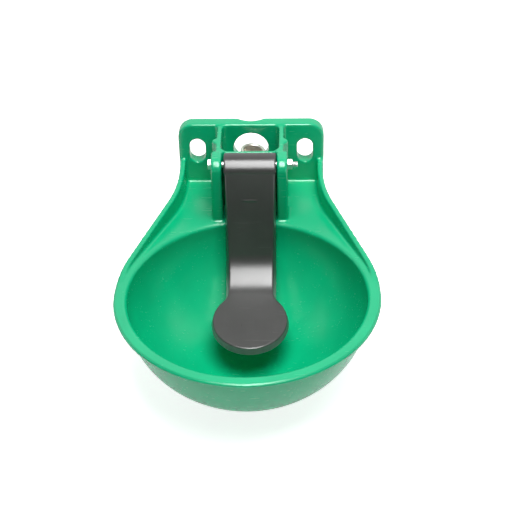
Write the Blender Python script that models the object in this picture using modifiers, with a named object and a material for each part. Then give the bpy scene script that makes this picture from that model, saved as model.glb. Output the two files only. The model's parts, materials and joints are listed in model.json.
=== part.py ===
"""Livestock drinking bowl: moulded bowl with a tongue that opens a brass angle valve.

Frame: +Z up, metres. The origin is on the wall plane, midway between the two fixing slots,
and the bowl stands out towards -Y.
"""
import math

import bmesh
import bpy
from mathutils import Matrix, Vector

# Back plate
PLATE_HALF_WIDTH = 0.0758
PLATE_DEPTH = 0.0140
PLATE_TOP = 0.0323
PLATE_CORNER = 0.0160
PLATE_BELOW_RIM = 0.0360
PLATE_FOOT_CORNER = 0.0120
SKIN = 0.0040
SLOT_SPACING = 0.1130
SLOT_WIDTH = 0.0166
SLOT_HEIGHT = 0.0310
BOSS_WALL = 0.0038
SERVICE_HOLE_RADIUS = 0.0182
SERVICE_HOLE_RISE = 0.0031
POST_RADIUS = 0.0214
SADDLE_DEPTH = 0.0052
# Bowl and rim
RIM_DROP = 0.0385
RIM_RADIUS = 0.1280
RIM_WIDTH = 0.0115
RIM_THICK = 0.0042
RIM_STEP = 0.0006
RIM_STEP_IN = 0.0016
EDGE_ROUND = 0.0014
BOWL_REAR_OUT = 0.0760
WALL = 0.0040
BOWL_DEPTH = 0.1040
BOWL_FULLNESS = 2.15
CAVITY_ROLL = 0.0028
# Side wings
WING_START_HALF = 0.0746
WING_START_OUT = 0.0297
WING_CURVE = 0.1100
WING_WALL = 0.0050
WING_RISE = 0.0290
WING_END_BACK = 0.0330
# Valve housing between the ears
CHAMBER_HALF = 0.0300
RIB_WALL = 0.0045
RIB_TOP = 0.0312
CROSS_WALL_OUT = 0.0620
CROSS_WALL = 0.0035
CROSS_WALL_TOP = 0.0290
CHAMBER_ROUND = 0.0040
EAR_INNER_HALF = 0.0280
EAR_THICK = 0.0103
EAR_BACK_OUT = 0.0615
EAR_FRONT_OUT = 0.0865
EAR_TOP = 0.0317
EAR_ROUND = 0.0110
BUMP_RADIUS = 0.0042
BUMP_OUT = 0.0415
BUMP_TOP = 0.0309
FLOOR_GAP_HALF = 0.0220
FLOOR_GAP_START = 0.0200
FLOOR_GAP_END = 0.0540
FLOOR_GAP_ROUND = 0.0060
GUSSET_REACH_SHARE = 0.42
GUSSET_LOW_SHARE = 0.67
# Hinge
HINGE_OUT = 0.0740
HINGE_RISE = 0.0230
BOLT_RADIUS = 0.0030
BOLT_HOLE_RADIUS = 0.0033
BOLT_HEAD_FLATS = 0.0100
BOLT_HEAD_THICK = 0.0037
NUT_THICK = 0.0048
BOLT_PAST_NUT = 0.0054
# Tongue
BARREL_RADIUS = 0.0113
BARREL_HALF = 0.0262
BARREL_BEVEL = 0.0018
TONGUE_LEAN = math.radians(18)
FOOT_SLOPE = math.radians(9)
BLADE_LENGTH = 0.0994
BEND_RADIUS = 0.0180
FOOT_LENGTH = 0.0548
TOP_HALF = 0.0258
NECK_HALF = 0.0226
FLARE_HALF = 0.0300
BACK_SPLAY = 0.0032
TONGUE_EDGE = 0.0016
FLANGE_TOP_DEPTH = 0.0095
FLANGE_LOW_DEPTH = 0.0070
TONGUE_WEB = 0.0036
TONGUE_WALL = 0.0034
CHANNEL_START = 0.0300
FOOT_STATION_SHARES = (0.3, 0.5, 0.65, 0.8, 1)
FLARE_POWER = 3
DISC_RADIUS = 0.0385
DISC_THICK = 0.0080
DISC_PROUD = 0.0003
DISC_EDGE = 0.0016
DISC_POCKET = 0.0044
PAD_HALF_WIDTH = 0.0070
PAD_HALF_HEIGHT = 0.0045
# Valve
VALVE_DROP = 0.0085
HOLE_CLEARANCE = 0.0004
NOZZLE_RADIUS = 0.0102
NOZZLE_PAST_NUT = 0.0032
SHOULDER_RADIUS = 0.0162
SHOULDER_THICK = 0.0040
GASKET_THICK = 0.0017
LOCK_NUT_FLATS = 0.0270
LOCK_NUT_THICK = 0.0070
BARREL_TUBE_RADIUS = 0.0134
REAR_END_OUT = 0.0230
CHAMBER_BORE = 0.0085
NOZZLE_BORE = 0.0062
SOCKET_RADIUS = 0.0128
SOCKET_BORE = 0.0094
SOCKET_OUT = 0.0385
SOCKET_RISE = 0.0260
SOCKET_LIP = 0.0010
SOCKET_LEAN = math.radians(7)
SOCKET_BORE_DEPTH = 0.0150
PORT_RADIUS = 0.0057
SEAT_FRONT_OUT = 0.0547
SEAT_LENGTH = 0.0044
SEAT_BORE = 0.0040
SEAT_LIP_RADIUS = 0.0052
SEAT_LIP_HEIGHT = 0.0010
O_RING_SECTION = 0.0007
O_RING_RADIUS = 0.0072
O_RING_STEPS = 8
STEM_RADIUS = 0.0024
STEM_TIP_OUT = 0.0804
STEM_TIP_ROUND = 0.0016
STEM_COLLAR_RADIUS = 0.0033
STEM_COLLAR_LENGTH = 0.0026
STEM_BACK_OUT = 0.0355
SEAL_RADIUS = 0.0064
SEAL_THICK = 0.0025
RETAINER_RADIUS = 0.0062
RETAINER_THICK = 0.0025
SPRING_MEAN_RADIUS = 0.0048
SPRING_WIRE = 0.0005
SPRING_TURNS = 5
SPRING_STEPS = 16
PLUG_THREAD_RADIUS = 0.0082
PLUG_SLEEVE_RADIUS = 0.0039
PLUG_SLEEVE_BORE = 0.0028
PLUG_SLEEVE_LENGTH = 0.0070
PLUG_THREAD_LENGTH = 0.0080
PLUG_SEAL_THICK = 0.0012
PLUG_FLATS = 0.0220
PLUG_HEAD_THICK = 0.0036
# Fits and facets
GAP = 0.0003
BITE = 0.0010
CUT_PAST = 0.0040
MERGE = 0.00001
ROUND_STEPS = 64
HOLE_STEPS = 40
SMALL_STEPS = 24
CORNER_STEPS = 6
WALL_POINTS = 9
HALF = 0.5
SMOOTH_ANGLE = math.radians(32)

RIM_Z = -RIM_DROP
BOWL_CENTRE_OUT = RIM_RADIUS + BOWL_REAR_OUT
WING_END_OUT = BOWL_CENTRE_OUT - WING_END_BACK
HINGE = Vector((0, -HINGE_OUT, HINGE_RISE))
VALVE_Z = -VALVE_DROP
EAR_OUTER_HALF = EAR_INNER_HALF + EAR_THICK

COLOURS = {
    "green": ((0.010, 0.440, 0.190), 0.38, 0.0),
    "charcoal": ((0.030, 0.030, 0.028), 0.42, 0.0),
    "zinc": ((0.780, 0.790, 0.780), 0.28, 1.0),
    "brass": ((0.560, 0.500, 0.400), 0.30, 1.0),
    "steel": ((0.600, 0.600, 0.590), 0.25, 1.0),
    "rubber": ((0.015, 0.015, 0.015), 0.75, 0.0),
    "nylon": ((0.700, 0.690, 0.640), 0.45, 0.0),
}


def clear_scene():
    """Removes whatever the new file starts with."""
    for item in list(bpy.data.objects):
        bpy.data.objects.remove(item, do_unlink=True)


def new_collection(name):
    made = bpy.data.collections.new(name)
    bpy.context.scene.collection.children.link(made)
    return made


def add_object(name, mesh, collection):
    item = bpy.data.objects.new(name, mesh)
    collection.objects.link(item)
    return item


def baked(item, name, collection):
    """The item's evaluated shape as a plain mesh object; the item itself is removed."""
    bpy.context.view_layer.update()
    graph = bpy.context.evaluated_depsgraph_get()
    mesh = bpy.data.meshes.new_from_object(item.evaluated_get(graph))
    mesh.transform(item.matrix_world)
    bpy.data.objects.remove(item, do_unlink=True)
    work = bmesh.new()
    work.from_mesh(mesh)
    bmesh.ops.remove_doubles(work, verts=work.verts, dist=MERGE)
    bmesh.ops.recalc_face_normals(work, faces=work.faces)
    work.to_mesh(mesh)
    work.free()
    return add_object(name, mesh, collection)


def outline_solid(name, points, low, high, turn=None):
    """A flat outline as a filled 2D curve, given its depth, from low to high along its normal."""
    curve = bpy.data.curves.new(name, "CURVE")
    curve.dimensions = "2D"
    curve.fill_mode = "BOTH"
    curve.extrude = (high - low) * HALF
    spline = curve.splines.new("POLY")
    spline.points.add(len(points) - len(spline.points))
    for spot, (a, b) in zip(spline.points, points):
        spot.co = (a, b, 0, 1)
    spline.use_cyclic_u = True
    item = add_object(name, curve, CUTTERS)
    lift = Matrix.Translation((0, 0, (high + low) * HALF))
    item.matrix_world = (turn or Matrix.Identity(4)) @ lift
    return baked(item, name, CUTTERS)


def facing_out():
    """Turns an outline drawn in (x, z) so that its depth runs along -Y: low and high are distances out."""
    return Matrix(((1, 0, 0, 0), (0, 0, -1, 0), (0, 1, 0, 0), (0, 0, 0, 1)))


def facing_side():
    """Turns an outline drawn in (y, z) so that its depth runs along +X."""
    return Matrix(((0, 0, 1, 0), (1, 0, 0, 0), (0, 1, 0, 0), (0, 0, 0, 1)))


def arc(centre, radius, start, end, steps):
    """Points of an arc, both ends in."""
    return [
        (centre[0] + radius * math.cos(start + (end - start) * k / steps),
         centre[1] + radius * math.sin(start + (end - start) * k / steps))
        for k in range(steps + 1)
    ]


def rounded_box(left, right, low, high, radii, steps=CORNER_STEPS):
    """A rectangle's outline with its own corner radius at low-left, low-right, high-right and high-left."""
    quarter = math.pi * HALF
    corners = ((left, low, 1, 1), (right, low, -1, 1), (right, high, -1, -1), (left, high, 1, -1))
    points = []
    for index, ((x, y, sx, sy), radius) in enumerate(zip(corners, radii)):
        if radius == 0:
            points.append((x, y))
            continue
        start = math.pi + index * quarter
        points += arc((x + sx * radius, y + sy * radius), radius, start, start + quarter, steps)
    return points


def turned(name, profile, steps, place=None, closed=True):
    """A profile of (radius, height) points turned about Z with the Screw modifier."""
    mesh = bpy.data.meshes.new(name)
    count = len(profile)
    edges = [(k, k + 1) for k in range(count - 1)]
    if closed:
        edges.append((count - 1, 0))
    mesh.from_pydata([(r, 0, z) for r, z in profile], edges, [])
    item = add_object(name, mesh, CUTTERS)
    screw = item.modifiers.new("Screw", "SCREW")
    screw.axis = "Z"
    screw.steps = steps
    screw.render_steps = steps
    screw.use_merge_vertices = True
    screw.merge_threshold = MERGE
    screw.use_smooth_shade = False
    item.matrix_world = place or Matrix.Identity(4)
    return baked(item, name, CUTTERS)


def rod(name, radius, low, high, steps, place=None, chamfer=0):
    """A solid round bar about Z, with chamfered ends if asked."""
    if chamfer:
        profile = [(0, high), (radius - chamfer, high), (radius, high - chamfer),
                   (radius, low + chamfer), (radius - chamfer, low), (0, low)]
    else:
        profile = [(0, high), (radius, high), (radius, low), (0, low)]
    return turned(name, profile, steps, place, closed=False)


def ring(name, inner, outer, low, high, steps, place=None, chamfer=0):
    """A plain ring about Z."""
    profile = [(inner, high), (outer - chamfer, high)]
    if chamfer:
        profile.append((outer, high - chamfer))
        profile.append((outer, low + chamfer))
    else:
        profile.append((outer, high))
    profile += [(outer - chamfer, low), (inner, low)]
    return turned(name, profile, steps, place)


def hexagon(flats):
    corner = flats * HALF / math.cos(math.pi / 6)
    return [(corner * math.cos(math.pi * k / 3), corner * math.sin(math.pi * k / 3)) for k in range(6)]


def valve_axis():
    """Stands a turned piece along the valve's line: height 0 on the wall plane, growing outwards (-Y)."""
    return Matrix.Translation((0, 0, VALVE_Z)) @ Matrix.Rotation(math.pi * HALF, 4, "X")


def hinge_axis():
    """Lays a turned piece along the hinge, height 0 on the middle plane, growing towards +X."""
    return Matrix.Translation(HINGE) @ Matrix.Rotation(math.pi * HALF, 4, "Y")


def combine(base, others, how):
    """One exact Boolean after another; each tool is used up."""
    for tool in others:
        step = base.modifiers.new("Join", "BOOLEAN")
        step.operation = how
        step.solver = "EXACT"
        step.object = tool
        bpy.context.view_layer.update()
        graph = bpy.context.evaluated_depsgraph_get()
        mesh = bpy.data.meshes.new_from_object(base.evaluated_get(graph))
        base.modifiers.clear()
        base.data = mesh
        bpy.data.objects.remove(tool, do_unlink=True)
    return base


def softened(item, width, segments=2, angle=SMOOTH_ANGLE):
    """Bevels the item's sharp edges and bakes the result."""
    step = item.modifiers.new("Bevel", "BEVEL")
    step.width = width
    step.segments = segments
    step.limit_method = "ANGLE"
    step.angle_limit = angle
    return baked(item, item.name, CUTTERS)


def lofted(name, sections):
    """A closed solid through matching loops of points."""
    work = bmesh.new()
    loops = [[work.verts.new(p) for p in section] for section in sections]
    count = len(loops[0])
    for one, two in zip(loops, loops[1:]):
        for k in range(count):
            work.faces.new((one[k], one[(k + 1) % count], two[(k + 1) % count], two[k]))
    work.faces.new(list(reversed(loops[0])))
    work.faces.new(loops[-1])
    bmesh.ops.recalc_face_normals(work, faces=work.faces)
    mesh = bpy.data.meshes.new(name)
    work.to_mesh(mesh)
    work.free()
    return add_object(name, mesh, CUTTERS)


def finish(item, name, colour, origin=None, parent=None):
    """Gives a node its name, colour, origin and shading, and moves it to the object's collection."""
    item.name = name
    mesh = item.data
    mesh.name = name
    work = bmesh.new()
    work.from_mesh(mesh)
    bmesh.ops.remove_doubles(work, verts=work.verts, dist=MERGE)
    bmesh.ops.dissolve_degenerate(work, edges=work.edges, dist=MERGE)
    work.to_mesh(mesh)
    work.free()
    spot = Vector(origin) if origin is not None else Vector((0, 0, 0))
    mesh.transform(Matrix.Translation(-spot))
    item.location = spot
    if parent is not None:
        item.parent = parent
        item.location = spot - parent.location
    tint, rough, metal = COLOURS[colour]
    paint = bpy.data.materials.new(name + "_finish")
    paint.use_nodes = True
    shader = paint.node_tree.nodes["Principled BSDF"]
    shader.inputs["Base Color"].default_value = (*tint, 1)
    shader.inputs["Roughness"].default_value = rough
    shader.inputs["Metallic"].default_value = metal
    mesh.materials.clear()
    mesh.materials.append(paint)
    mesh.shade_smooth()
    mesh.set_sharp_from_angle(angle=SMOOTH_ANGLE)
    for used in list(item.users_collection):
        used.objects.unlink(item)
    PARTS.objects.link(item)
    return item


def wing_splay():
    """Angle of the wings' straight run, which leaves the curve at the plate and touches the rim's circle."""
    run = BOWL_CENTRE_OUT - WING_START_OUT
    span = WING_START_HALF + WING_CURVE
    return math.atan2(run, span) - math.acos((RIM_RADIUS + WING_CURVE) / math.hypot(run, span))


def body_outline(inset):
    """Left half of the plan outline, from the plate to the front of the rim, moved in by inset."""
    half = WING_START_HALF - inset
    curve = WING_CURVE + inset
    splay = wing_splay()
    points = [(-half, -SKIN)]
    points += arc((-half - curve, -WING_START_OUT), curve, 0, -splay, CORNER_STEPS)
    turn = math.pi - splay
    points += arc((0, -BOWL_CENTRE_OUT), RIM_RADIUS - inset, turn, math.pi + math.pi * HALF,
                  ROUND_STEPS // 3)
    return points


def mirrored(points):
    """The left half outline and its mirror image as one loop."""
    return points + [(-x, y) for x, y in reversed(points[:-1])]


def wing_height(y):
    """Height of the edge band's top above the rim plane at a distance y from the wall."""
    run = (WING_END_OUT + y) / (WING_END_OUT - PLATE_DEPTH)
    return max(-RIM_STEP, WING_RISE * min(run, 1))


def edge_band():
    """The rounded band that stands along the outline: rim lip in front, rising wing at each side."""
    outer = mirrored(body_outline(0))
    inner = mirrored(body_outline(WING_WALL))
    sections = []
    for (ox, oy), (ix, iy) in zip(outer, inner):
        top = RIM_Z + wing_height(oy)
        low = RIM_Z - RIM_THICK
        share = EDGE_ROUND / WING_WALL
        near = (ox + (ix - ox) * share, oy + (iy - oy) * share)
        far = (ix + (ox - ix) * share, iy + (oy - iy) * share)
        sections.append([
            (ox, oy, low), (ox, oy, top - EDGE_ROUND), (near[0], near[1], top),
            (far[0], far[1], top), (ix, iy, top - EDGE_ROUND), (ix, iy, low),
        ])
    return lofted("edge_band", sections)


def bowl_wall(radius, depth, top, steps):
    """Points down a bowl's wall, from the rim to the middle of its bottom."""
    points = []
    for k in range(steps):
        angle = math.pi * HALF * k / steps
        fall = math.sin(angle) ** (2 / BOWL_FULLNESS)
        reach = math.cos(angle) ** (2 / BOWL_FULLNESS)
        points.append((radius * reach, top - (depth + top) * fall))
    points.append((0, -depth))
    return points


def make_plate():
    """The hollow-backed plate with its slot bosses, service hole ring and post saddle."""
    foot = RIM_Z - PLATE_BELOW_RIM
    radii = (PLATE_FOOT_CORNER, PLATE_FOOT_CORNER, PLATE_CORNER, PLATE_CORNER)
    outline = rounded_box(-PLATE_HALF_WIDTH, PLATE_HALF_WIDTH, foot, PLATE_TOP, radii)
    plate = outline_solid("plate", outline, 0, PLATE_DEPTH, facing_out())
    plate = softened(plate, EDGE_ROUND)
    inside = [r - SKIN for r in radii]
    hollow_outline = rounded_box(-PLATE_HALF_WIDTH + SKIN, PLATE_HALF_WIDTH - SKIN,
                                 foot + SKIN, PLATE_TOP - SKIN, inside)
    hollow = outline_solid("hollow", hollow_outline, -CUT_PAST, PLATE_DEPTH - SKIN, facing_out())
    combine(plate, [hollow], "DIFFERENCE")
    depth = PLATE_DEPTH - SKIN + BITE
    extras = []
    boss_half = SLOT_WIDTH * HALF + BOSS_WALL
    boss_rise = SLOT_HEIGHT * HALF + BOSS_WALL
    for side in (-1, 1):
        x = side * SLOT_SPACING * HALF
        boss = rounded_box(x - boss_half, x + boss_half, -boss_rise, boss_rise, [boss_half - MERGE] * 4)
        extras.append(outline_solid("boss", boss, GAP, depth, facing_out()))
    centre = Matrix.Translation((0, 0, SERVICE_HOLE_RISE)) @ Matrix.Rotation(math.pi * HALF, 4, "X")
    extras.append(rod("ring", SERVICE_HOLE_RADIUS + BOSS_WALL, GAP, depth, HOLE_STEPS, centre))
    wall = BOSS_WALL * HALF
    for side in (-1, 1):
        x = side * (CHAMBER_HALF + RIB_WALL * HALF)
        extras.append(outline_solid("stay", [(x - wall, foot + BITE), (x + wall, foot + BITE),
                                             (x + wall, PLATE_TOP - BITE), (x - wall, PLATE_TOP - BITE)],
                                    GAP, depth, facing_out()))
    level = RIM_Z - RIM_THICK * HALF
    span = PLATE_HALF_WIDTH - BITE
    extras.append(outline_solid("tie", [(-span, level - wall), (span, level - wall),
                                        (span, level + wall), (-span, level + wall)],
                                GAP, depth, facing_out()))
    return combine(plate, extras, "UNION")


def make_body():
    """The bowl, its shelf, wings, plate and valve housing as one moulding."""
    slab_outline = mirrored(body_outline(RIM_STEP_IN))
    slab = outline_solid("slab", slab_outline, RIM_Z - RIM_THICK + GAP, RIM_Z)
    outer = bowl_wall(RIM_RADIUS - RIM_WIDTH + WALL * HALF, BOWL_DEPTH, -RIM_THICK * HALF, WALL_POINTS)
    outer.insert(0, (0, -RIM_THICK * HALF))
    at_bowl = Matrix.Translation((0, -BOWL_CENTRE_OUT, RIM_Z))
    bowl = turned("bowl", outer, ROUND_STEPS, at_bowl, closed=False)
    joined = [bowl, edge_band()]
    low = RIM_Z - PLATE_BELOW_RIM + SKIN
    reach_out = BOWL_REAR_OUT + RIM_RADIUS * GUSSET_REACH_SHARE
    deepest = RIM_Z - BOWL_DEPTH * GUSSET_LOW_SHARE
    for side in (-1, 1):
        inner = side * CHAMBER_HALF
        outer_x = side * (CHAMBER_HALF + RIB_WALL)
        gusset = [(-PLATE_DEPTH + BITE, RIM_Z - RIM_THICK * HALF), (-PLATE_DEPTH + BITE, low),
                  (-reach_out, deepest), (-reach_out, RIM_Z - RIM_THICK * HALF)]
        joined.append(outline_solid("gusset", gusset, min(inner, outer_x), max(inner, outer_x),
                                    facing_side()))
    combine(slab, joined, "UNION")
    combine(slab, [make_plate()], "UNION")
    inner_radius = RIM_RADIUS - RIM_WIDTH - WALL * HALF + GAP
    inside = bowl_wall(inner_radius, BOWL_DEPTH - WALL, -CAVITY_ROLL, WALL_POINTS)
    edge = RIM_RADIUS - RIM_WIDTH + CAVITY_ROLL
    lead = [(0, CUT_PAST), (edge, CUT_PAST), (edge, 0),
            (RIM_RADIUS - RIM_WIDTH, -CAVITY_ROLL * HALF * HALF)]
    cavity = turned("cavity", lead + inside, ROUND_STEPS, at_bowl, closed=False)
    combine(slab, [cavity], "DIFFERENCE")

    base = RIM_Z - RIM_THICK * HALF
    block_half = CHAMBER_HALF + RIB_WALL
    block = rounded_box(-block_half, block_half, -CROSS_WALL_OUT, -PLATE_DEPTH + BITE, [0, 0, 0, 0])
    housing = [outline_solid("ribs", block, base, RIB_TOP)]
    void = rounded_box(-CHAMBER_HALF, CHAMBER_HALF, -CROSS_WALL_OUT + CROSS_WALL, -PLATE_DEPTH + GAP,
                       [CHAMBER_ROUND] * 4)
    dip_half = CHAMBER_HALF - CHAMBER_ROUND * HALF
    dip = rounded_box(-dip_half, dip_half, CROSS_WALL_TOP, RIB_TOP + CUT_PAST,
                      [CHAMBER_ROUND * HALF] * 2 + [0, 0])
    hollows = [outline_solid("void", void, base - BITE, RIB_TOP + CUT_PAST),
               outline_solid("dip", dip, CROSS_WALL_OUT - CROSS_WALL - CHAMBER_ROUND,
                             CROSS_WALL_OUT + CUT_PAST, facing_out())]
    combine(housing[0], hollows, "DIFFERENCE")
    for side in (-1, 1):
        ear_low, ear_high = sorted((side * EAR_INNER_HALF, side * EAR_OUTER_HALF))
        ear = rounded_box(-EAR_FRONT_OUT, -EAR_BACK_OUT, base - BITE, EAR_TOP,
                          [0, 0, EAR_ROUND * HALF * HALF, EAR_ROUND])
        block = outline_solid("ear", ear, ear_low, ear_high, facing_side())
        housing.append(softened(block, EDGE_ROUND))
        place = Matrix.Translation((side * (CHAMBER_HALF + RIB_WALL - GAP), -BUMP_OUT, 0))
        housing.append(rod("bump", BUMP_RADIUS, base, BUMP_TOP, SMALL_STEPS, place))
    combine(slab, housing, "UNION")

    cutters = []
    for side in (-1, 1):
        x = side * SLOT_SPACING * HALF
        half = SLOT_WIDTH * HALF
        slot = rounded_box(x - half, x + half, -SLOT_HEIGHT * HALF, SLOT_HEIGHT * HALF, [half - MERGE] * 4)
        cutters.append(outline_solid("slot", slot, -CUT_PAST, PLATE_DEPTH + CUT_PAST, facing_out()))
    centre = Matrix.Translation((0, 0, SERVICE_HOLE_RISE)) @ Matrix.Rotation(math.pi * HALF, 4, "X")
    cutters.append(rod("service", SERVICE_HOLE_RADIUS, -CUT_PAST, PLATE_DEPTH + CUT_PAST, HOLE_STEPS, centre))
    post = Matrix.Translation((0, POST_RADIUS - SADDLE_DEPTH, 0))
    reach = PLATE_TOP + CUT_PAST
    foot = RIM_Z - PLATE_BELOW_RIM - CUT_PAST
    cutters.append(rod("post", POST_RADIUS, foot, reach, ROUND_STEPS, post))
    cutters.append(rod("valve_hole", NOZZLE_RADIUS + HOLE_CLEARANCE, CROSS_WALL_OUT - CROSS_WALL - CUT_PAST,
                       CROSS_WALL_OUT + CUT_PAST, HOLE_STEPS, valve_axis()))
    span = EAR_OUTER_HALF + CUT_PAST
    cutters.append(rod("bolt_hole", BOLT_HOLE_RADIUS, -span, span, SMALL_STEPS, hinge_axis()))
    gap = rounded_box(-FLOOR_GAP_HALF, FLOOR_GAP_HALF, -FLOOR_GAP_END, -FLOOR_GAP_START,
                      [FLOOR_GAP_ROUND] * 4)
    cutters.append(outline_solid("floor_gap", gap, RIM_Z - RIM_THICK - CUT_PAST, RIM_Z + CUT_PAST))
    combine(slab, cutters, "DIFFERENCE")
    return finish(slab, "bowl_body", "green")


def tongue_path():
    """Stations down the tongue's front face: point, direction, way back and distance along."""
    stations = []
    lean = TONGUE_LEAN
    offset = BARREL_RADIUS - GAP
    first = Vector((-HINGE_OUT - offset * math.cos(lean), HINGE_RISE + offset * math.sin(lean)))

    def add(spot, angle, along):
        stations.append((spot, Vector((math.cos(angle), -math.sin(angle))), along))

    ahead = Vector((-math.sin(lean), -math.cos(lean)))
    for along in (0, CHANNEL_START, BLADE_LENGTH):
        add(first + ahead * along, lean, along)
    middle = first + ahead * BLADE_LENGTH + Vector((-math.cos(lean), math.sin(lean))) * BEND_RADIUS
    last = math.pi * HALF - FOOT_SLOPE
    for k in range(1, CORNER_STEPS + 1):
        angle = lean + (last - lean) * k / CORNER_STEPS
        spot = middle + Vector((math.cos(angle), -math.sin(angle))) * BEND_RADIUS
        add(spot, angle, BLADE_LENGTH + BEND_RADIUS * (angle - lean))
    ahead = Vector((-math.sin(last), -math.cos(last)))
    corner = stations[-1][0]
    bent = stations[-1][2]
    for share in FOOT_STATION_SHARES:
        add(corner + ahead * FOOT_LENGTH * share, last, bent + FOOT_LENGTH * share)
    return stations


def tongue_half(along, total):
    """Half width of the tongue's front face at a distance along it."""
    neck = BLADE_LENGTH + BEND_RADIUS * HALF
    if along <= neck:
        return TOP_HALF + (NECK_HALF - TOP_HALF) * along / neck
    share = (along - neck) / (total - neck)
    return NECK_HALF + (FLARE_HALF - NECK_HALF) * share ** FLARE_POWER


def make_tongue():
    """The tongue: barrel, channelled blade, bend, foot and pressing disc."""
    stations = tongue_path()
    total = stations[-1][2]
    solid, channel = [], []
    for spot, back, along in stations:
        half = tongue_half(along, total)
        depth = FLANGE_TOP_DEPTH + (FLANGE_LOW_DEPTH - FLANGE_TOP_DEPTH) * along / total
        rows = ((half - TONGUE_EDGE, 0), (half, TONGUE_EDGE), (half + BACK_SPLAY * along / total, depth))
        section = []
        for sign, order in ((-1, rows), (1, tuple(reversed(rows)))):
            for wide, deep in order:
                place = spot + back * deep
                section.append((sign * wide, place[0], place[1]))
        solid.append(section)
        if along < CHANNEL_START:
            continue
        wide = half - TONGUE_WALL
        near = spot + back * TONGUE_WEB
        far = spot + back * (depth + CUT_PAST)
        channel.append([(-wide, near[0], near[1]), (-wide, far[0], far[1]),
                        (wide, far[0], far[1]), (wide, near[0], near[1])])
    blade = lofted("blade", solid)
    end, back, _ = stations[-1]
    top = end - back * DISC_PROUD
    tilt = Matrix.Translation((0, top[0], top[1])) @ Matrix.Rotation(FOOT_SLOPE, 4, "X")
    edge = DISC_EDGE
    rim = [(0, 0), (DISC_RADIUS - edge, 0), (DISC_RADIUS - edge * HALF * HALF, -edge * HALF * HALF),
           (DISC_RADIUS, -edge), (DISC_RADIUS, -DISC_THICK + edge),
           (DISC_RADIUS - edge, -DISC_THICK), (0, -DISC_THICK)]
    disc = turned("disc", rim, ROUND_STEPS, tilt, closed=False)
    barrel = rod("barrel", BARREL_RADIUS, -BARREL_HALF, BARREL_HALF, ROUND_STEPS, hinge_axis(), BARREL_BEVEL)
    pocket_radius = DISC_RADIUS - TONGUE_WALL
    pocket = rod("pocket", pocket_radius, -DISC_THICK - CUT_PAST, -DISC_THICK + DISC_POCKET,
                 ROUND_STEPS, tilt)
    combine(blade, [disc], "UNION")
    combine(blade, [lofted("channel", channel), pocket], "DIFFERENCE")
    face = STEM_TIP_OUT + GAP
    web_out = (HINGE_OUT + BARREL_RADIUS + (HINGE_RISE + VALVE_DROP) * math.tan(TONGUE_LEAN)
               - TONGUE_WEB * HALF)
    pad = rounded_box(-web_out, -face, VALVE_Z - PAD_HALF_HEIGHT, VALVE_Z + PAD_HALF_HEIGHT,
                      [0, TONGUE_EDGE, TONGUE_EDGE, 0])
    pads = [outline_solid("pad", pad, -PAD_HALF_WIDTH, PAD_HALF_WIDTH, facing_side())]
    combine(blade, [barrel] + pads, "UNION")
    bore = rod("bore", BOLT_HOLE_RADIUS, -BARREL_HALF - CUT_PAST, BARREL_HALF + CUT_PAST,
               SMALL_STEPS, hinge_axis())
    combine(blade, [bore], "DIFFERENCE")
    return finish(blade, "tongue", "charcoal", HINGE)


def make_hinge():
    """The bolt that the tongue swings on, and its nut."""
    outer = EAR_OUTER_HALF + GAP
    head_low = -outer - BOLT_HEAD_THICK
    end = outer + NUT_THICK + BOLT_PAST_NUT
    bolt = outline_solid("bolt", hexagon(BOLT_HEAD_FLATS), head_low, -outer, hinge_axis())
    chamfer = BOLT_RADIUS * HALF * HALF
    shank = rod("shank", BOLT_RADIUS, -outer - BITE, end, SMALL_STEPS, hinge_axis(), chamfer)
    combine(bolt, [shank], "UNION")
    finish(bolt, "hinge_bolt", "zinc")
    nut = outline_solid("nut", hexagon(BOLT_HEAD_FLATS), outer, outer + NUT_THICK, hinge_axis())
    hole = rod("hole", BOLT_RADIUS + GAP, outer - CUT_PAST, outer + NUT_THICK + CUT_PAST,
               SMALL_STEPS, hinge_axis())
    combine(nut, [hole], "DIFFERENCE")
    finish(nut, "hinge_nut", "zinc")


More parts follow.
